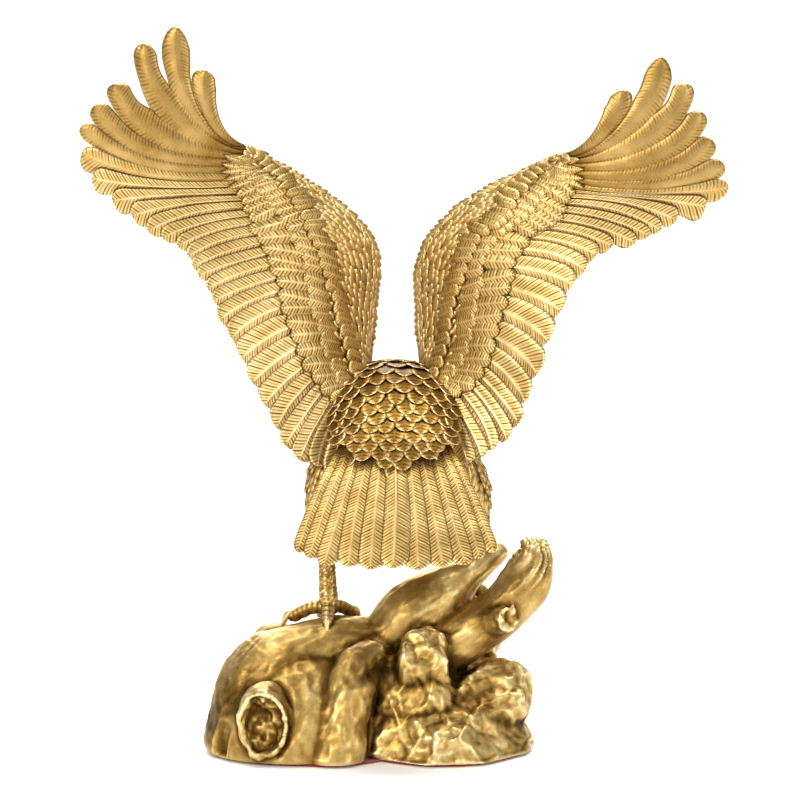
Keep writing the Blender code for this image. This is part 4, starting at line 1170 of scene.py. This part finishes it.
def makeBase():
    # The limbs and masses are fused into one skin, hollowed at the knot and cut off at the
    # ground, then each point is moved along its normal by the bark and stone worked out there.
    solids = [sweepPart(path, 90, 48, 1.0, plainSkin, 0.5, up=baseLook["up"]) for path in baseLook["limbs"].values()]
    solids += [ballPart(*mass) for mass in baseLook["masses"].values()]
    raw = rawObject("base_forms", solids)
    points, quads = fused(raw, baseLook["roughVoxel"])
    bpy.data.objects.remove(raw)
    whole = rawObject("base_whole", [(points, quads, np.zeros((0, 3), int), None)])
    hollow = rawObject("base_hollow", [ballPart(*baseLook["hollow"])])
    box = np.array(np.meshgrid((-300, 300), (-300, 300), (-100, baseLook["ground"]), indexing="ij")).reshape(3, -1).T
    sides = np.array(((0, 1, 3, 2), (4, 6, 7, 5), (0, 4, 5, 1), (2, 3, 7, 6), (0, 2, 6, 4), (1, 5, 7, 3)))
    ground = rawObject("base_ground", [(box.astype(float), sides, np.zeros((0, 3), int), None)])
    for cutter in (hollow, ground):
        cut = whole.modifiers.new("cut", "BOOLEAN")
        cut.operation, cut.solver, cut.object = "DIFFERENCE", "EXACT", cutter
    points, quads = fused(whole, baseLook["voxel"])
    for helper in (whole, hollow, ground):
        bpy.data.objects.remove(helper)
    normal = pointNormals(points, quads)

    # bark: long folds and soft dents on the limbs; stone: chipped facets of three sizes, with a
    # few tilted layers that rise slowly and drop at once; each weighted by how near its skin is
    distance, relief = [], []
    for name, path in baseLook["limbs"].items():
        d, along, angle, aside, tangent, total = limbField(points, path)
        radius = np.interp(along, (0, 200), (14, 10))
        endOn = np.clip(np.abs((normal * tangent).sum(1)) * 2 - 0.9, 0, 1) * (along > 0.5 * total)
        wind = np.stack([along / 4.2, angle * radius, np.full(len(along), len(distance) * 50.0)], 1)
        fold = 1 - 2 * np.abs(swell(wind + 1.2 * swell(points, 9.0, 3)[:, None], 4.6, 11))
        fine = 1 - 2 * np.abs(swell(wind, 2.2, 12))
        dents = 0.8 * swell(points, 8.5, 33) + 0.4 * swell(points, 3.6, 34)
        grain = {"log": 0.3, "stump": 0.3, "far_root": 0.4}.get(name, 0.2)
        grain = grain + (name == "log") * 0.55 * np.clip((points[:, 0] - 62) / 10, 0, 1)
        lumpy = 1.1 if name == "near_root" else 0.6
        bark = baseLook["fold"] * (grain * fold + 0.4 * grain * fine + lumpy * dents) * (1 - endOn)
        if name == "stump":
            # the broken top: flutes that deepen towards it and splinters on its end
            near = np.clip((along - total + 20) / 14, 0, 1)
            bark = bark + near * baseLook["flute"] * (1 - 2.4 * np.abs(swell(wind * np.array((0.5, 1, 1)), 4.0, 31)))
            bark = bark + endOn * baseLook["splinter"] * swell(points * np.array((1, 1, 0.3)), 3.2, 32)
        if name == "perch":
            bark = bark + endOn * 2.2 * swell(points, 3.6, 38)
        if name == "cut_stub":
            # the broken end: a hollowed middle inside a ragged rim
            torn = baseLook["torn"] * swell(points, 2.6, 35)
            bark = bark + endOn * (0.3 - 2.6 * np.exp(-(aside / 3.6) ** 2) + torn)
            bark = bark + 0.8 * torn * np.clip((along - total + 7) / 5, 0, 1) * (1 - endOn)
        distance.append(d)
        relief.append(bark)
    for name, mass in baseLook["masses"].items():
        d = massField(points, *mass)
        if name in baseLook["rooty"]:
            wind = points * np.array((0.9, 0.9, 0.28))
            fold = 1 - 2 * np.abs(swell(wind + 1.6 * swell(points, 12.0, 4)[:, None], 5.2, 13))
            dents = 0.8 * swell(points, 8.5, 33) + 0.4 * swell(points, 3.6, 34)
            bark = 0.45 * fold + 0.6 * dents
            if name == "root_mass":
                # long ridges round its rim, side by side like the grain of a bent trunk
                (x, _, z), (wide, _, high) = mass[:2]
                across, up = (points[:, 0] - x) / wide, (points[:, 2] - z) / high
                shell = np.hypot(across, up)
                rings = np.stack([shell * wide, np.arctan2(across, up) * 7, 0 * shell], 1)
                rings = rings + 0.8 * swell(points, 8.0, 36)[:, None]
                rim = np.clip((shell - 0.70) / 0.08, 0, 1) * np.clip(across / 0.15, 0, 1)
                bark = bark + baseLook["flank"] * rim * (0.7 - 2.6 * np.abs(swell(rings, 3.3, 14)))
            relief.append(baseLook["fold"] * bark)
        else:
            askew = points @ np.array(((0.86, -0.42, 0.29), (0.50, 0.77, -0.40), (-0.06, 0.48, 0.87)))
            askew = askew + 1.2 * np.stack([swell(points, 7.0, seed) for seed in (26, 27, 28)], 1)
            tilted = points @ np.array((0.34, 0.25, 0.9))
            part = (tilted / 11.0 + 0.6 * swell(points, 21.0, 19)) % 1.0
            broken = np.clip(0.3 + 1.3 * swell(points, 23.0, 22), 0, 1)
            rise = baseLook["layer"] * broken * (np.minimum(part, (1 - part) * 4) - 0.4)
            chips = sum(high * facets(askew + shift, size, seed) for high, size, shift, seed in baseLook["chips"])
            relief.append(rise + chips + 0.2 * swell(points, 2.2, 15))
        distance.append(d)
    distance, relief = np.array(distance), np.array(relief)
    weight = np.exp(-np.abs(distance - distance.min(0)) / 0.9)
    weight /= weight.sum(0)
    shown = (weight * relief).sum(0)
    gap = cellGap(points, 2.6, 41)
    stone = weight[len(baseLook["limbs"]) + len(baseLook["rooty"]):].sum(0)
    shown = shown + baseLook["pebble"] * (np.clip(gap * 2.2, 0, 1) - 0.6) * (1 - 0.75 * stone)
    # the knot: a ragged lip round the hollow, and lumps inside it
    centre, half = np.array(baseLook["hollow"])
    off = (points - centre) / half
    around = np.hypot(off[:, 0], off[:, 2])
    facing = (points[:, 1] > 40) * np.clip((points[:, 1] - 40) / 4, 0, 1)
    ragged = 0.6 + 0.8 * swell(points, 3.0, 51)
    lip = baseLook["lip"] * np.exp(-((around - 0.99) / 0.06) ** 2)
    moat = baseLook["moat"] * np.exp(-((around - 1.2) / 0.09) ** 2)
    shown = shown + facing * (lip - moat) * ragged
    inside = np.clip((0.93 - around) / 0.12, 0, 1) * (points[:, 1] > 34)
    shown = shown * (1 - inside) + inside * (1.7 * swell(points, 4.0, 52) + 0.9 * swell(points, 1.9, 53))
    shown = shown * np.clip((points[:, 2] - baseLook["ground"]) / 2.0, 0, 1)
    # the pocket: a dent under the crotch; further down, the tone is darkened there as painted shade
    x, z, wide, high, deep = baseLook["pocket"]
    pocket = np.exp(-((points[:, 0] - x) / wide) ** 2 - ((points[:, 2] - z) / high) ** 2) * (points[:, 1] > 4)
    shown = shown - deep * pocket
    # creases between forms: where two skins are both near, the surface is a valley, toned darker
    second = np.sort(distance, axis=0)[1] - distance.min(0)
    crease = np.exp(-second / 2.0) * (distance.min(0) > -1.5)
    points = points + normal * shown[:, None]
    points[:, 2] = np.maximum(points[:, 2], baseLook["ground"])
    fine, broad = ridges(points, quads, normal, (4, 30))
    edge = (0.12 + 0.12 * stone) * np.clip(fine / 0.25, -1, 1)
    # tone: darker in creases and inside the hollow; the pocket under the crotch is painted shade; proud ridges are
    # brighter, as wear
    wornAndShaded = 0.58 + 0.05 * stone - 0.32 * crease - 0.10 * inside - 0.3 * pocket + edge
    wornAndShaded = np.clip(wornAndShaded + 0.28 * np.clip(broad / 1.2, -1, 1) + 0.10 * swell(points, 11.0, 61), 0.02, 1)
    makePiece("root_and_rocks", [(points, quads, np.zeros((0, 3), int), wornAndShaded)], agedBrass,
              "root_and_rock_base")


makeBase()
print("base made")


# Wool felt, pressed and dyed red, cut with a blade: no weave, a soft nap and a fuzzy sheen.
feltLook = {
    "thick": 1.0, "colour": "#9c1f1f", "shade": "#5e0f12", "nap": 0.5,
    # from the middle below, out round the cut edge and back: share of the way out, share of the height
    "rings": ((0.02, 0), (0.3, 0), (0.6, 0), (0.9, 0), (0.99, 0), (0.9985, 0.12), (1, 0.3), (1, 0.7),
              (0.9985, 0.88), (0.99, 1), (0.9, 1), (0.6, 1), (0.3, 1), (0.02, 1)),
}


def redFelt():
    # colour and bump from one fine noise as coarse as the nap
    material = bpy.data.materials.new("pressed_wool_felt_red")
    material.use_nodes = True
    tree = material.node_tree
    shader = tree.nodes["Principled BSDF"]
    place = addNode(tree, "ShaderNodeTexCoord").outputs["Object"]
    nap = addNode(tree, "ShaderNodeTexNoise", {},
                  {"Vector": place, "Scale": 1000 / feltLook["nap"] / 2, "Detail": 5.0}).outputs["Fac"]
    ramp = addNode(tree, "ShaderNodeValToRGB", {}, {"Fac": nap})
    setRamp(ramp, ((0.3, feltLook["shade"]), (0.65, feltLook["colour"])))
    bump = addNode(tree, "ShaderNodeBump", {}, {"Height": nap, "Strength": 0.6, "Distance": 0.0002})
    tree.links.new(ramp.outputs["Color"], shader.inputs["Base Color"])
    tree.links.new(bump.outputs[0], shader.inputs["Normal"])
    shader.inputs["Roughness"].default_value = 0.95
    shader.inputs["Sheen Weight"].default_value = 0.4
    return material


def makeFelt():
    # The cut outline is read off the frame's own pad. The sheet is that outline drawn in to
    # its middle in rings, flat on top and below, with its cut edge slightly rounded.
    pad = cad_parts["felt_pad"].data
    corners = np.array([v.co for v in pad.vertices]) / millimetre
    flat = corners[corners[:, 2] < 0.5, :2]
    middle = flat.mean(0)
    turn = np.arctan2(*(flat - middle).T[::-1])
    order = np.argsort(turn)
    turn, reach = turn[order], np.linalg.norm(flat - middle, axis=1)[order]
    angle = np.linspace(-math.pi, math.pi, 224, endpoint=False)
    edge = np.interp(angle, turn, reach, period=2 * math.pi)
    outline = middle + np.stack([np.cos(angle), np.sin(angle)], 1) * edge[:, None]
    shares, heights = np.array(feltLook["rings"]).T
    ring = middle + (outline - middle)[None] * shares[:, None, None]
    heights = feltLook["thick"] * heights[:, None, None]
    points = np.concatenate([ring, np.broadcast_to(heights, ring.shape[:2] + (1,))], 2)
    felt = makePiece("felt_sheet", [shellPart(points[None], np.full((1,) + points.shape[:2], 0.5))], redFelt(),
                     "felt_pad")


makeFelt()


def makeStage():
    # a pale floor that turns up behind the object: a profile of y and z carried along x
    angle = np.linspace(0, math.pi / 2, 16)
    y = np.concatenate([[3.0, 0.0], -1.6 - 0.8 * np.sin(angle), [-2.4]])
    z = np.concatenate([[0.0, 0.0], 0.8 - 0.8 * np.cos(angle), [3.5]])
    x = np.array([-4.0, 4.0])
    grid = np.stack([np.broadcast_to(x[None], (len(y), 2)), np.broadcast_to(y[:, None], (len(y), 2)),
                     np.broadcast_to(z[:, None], (len(y), 2))], -1)
    i = np.arange(len(y) - 1) * 2
    mesh = bpy.data.meshes.new("studio_floor")
    mesh.from_pydata(grid.reshape(-1, 3).tolist(), [], np.stack([i, i + 1, i + 3, i + 2], 1).tolist())
    mesh.polygons.foreach_set("use_smooth", np.ones(len(mesh.polygons), bool))
    floor = bpy.data.objects.new("studio_floor", mesh)
    bpy.context.scene.collection.objects.link(floor)
    paper = bpy.data.materials.new("matt_white_paper")  # coated paper roll: even, pale, no gloss
    paper.use_nodes = True
    shader = paper.node_tree.nodes["Principled BSDF"]
    shader.inputs["Base Color"].default_value = linearColour("#f5f4f1")
    shader.inputs["Roughness"].default_value = 0.85
    mesh.materials.append(paper)


def addSoftLight(name, place, target, size, watts, hexText):
    # a softbox: an area light at place, in metres, that faces target
    light = bpy.data.lights.new(name, "AREA")
    light.shape, light.energy = "RECTANGLE", watts
    light.size, light.size_y = size
    light.color = linearColour(hexText)[:3]
    obj = bpy.data.objects.new(name, light)
    bpy.context.scene.collection.objects.link(obj)
    obj.location = place
    obj.rotation_euler = (Vector(target) - Vector(place)).to_track_quat("-Z", "Y").to_euler()


makeStage()
middle = (0.0012, 0.0, 0.1655)
lightPlan = (
    ("key_softbox", (0.8, 1.4, 0.8), middle, (0.7, 0.7), 18.5, "#fffaf3"),
    ("fill_softbox", (-1.2, 1.2, 0.5), middle, (0.6, 0.9), 8.0, "#f8f9ff"),
    ("top_softbox", (0.0, 0.1, 1.5), middle, (1.1, 0.9), 7.0, "#ffffff"),
    ("front_softbox", (0.3, -1.3, 0.9), middle, (0.8, 0.8), 9.0, "#ffffff"),
    ("backdrop_light", (0.0, 0.0, 2.2), (0.0, -2.2, 0.3), (2.0, 0.6), 60.0, "#ffffff"),
)
for name, place, target, size, watts, hexText in lightPlan:
    addSoftLight(name, place, target, size, watts, hexText)
world = bpy.data.worlds.new("studio_air")
world.use_nodes = True
world.node_tree.nodes["Background"].inputs["Color"].default_value = linearColour("#e9eaec")
world.node_tree.nodes["Background"].inputs["Strength"].default_value = 0.72
bpy.context.scene.world = world
bpy.context.scene.view_settings.view_transform = "Standard"

# The photograph is taken from behind and 7 degrees up, 0.4717 mm of the object to a pixel
away, azimuth, elevation = 1.3, math.radians(180), math.radians(7)
pixel, pictureWidth, sensor = 0.0004717, 800, 36.0
camera = bpy.data.cameras.new("camera")
camera.sensor_width = sensor
camera.lens = sensor * (away / pixel) / pictureWidth
camera.clip_start = 0.01
cameraObject = bpy.data.objects.new("camera", camera)
bpy.context.scene.collection.objects.link(cameraObject)
level = away * math.cos(elevation)
offset = Vector((level * math.sin(azimuth), -level * math.cos(azimuth), away * math.sin(elevation)))
cameraObject.location = Vector(middle) + offset
cameraObject.rotation_euler = (Vector(middle) - cameraObject.location).to_track_quat("-Z", "Y").to_euler()
bpy.context.scene.camera = cameraObject
print("stage, light and camera ready")
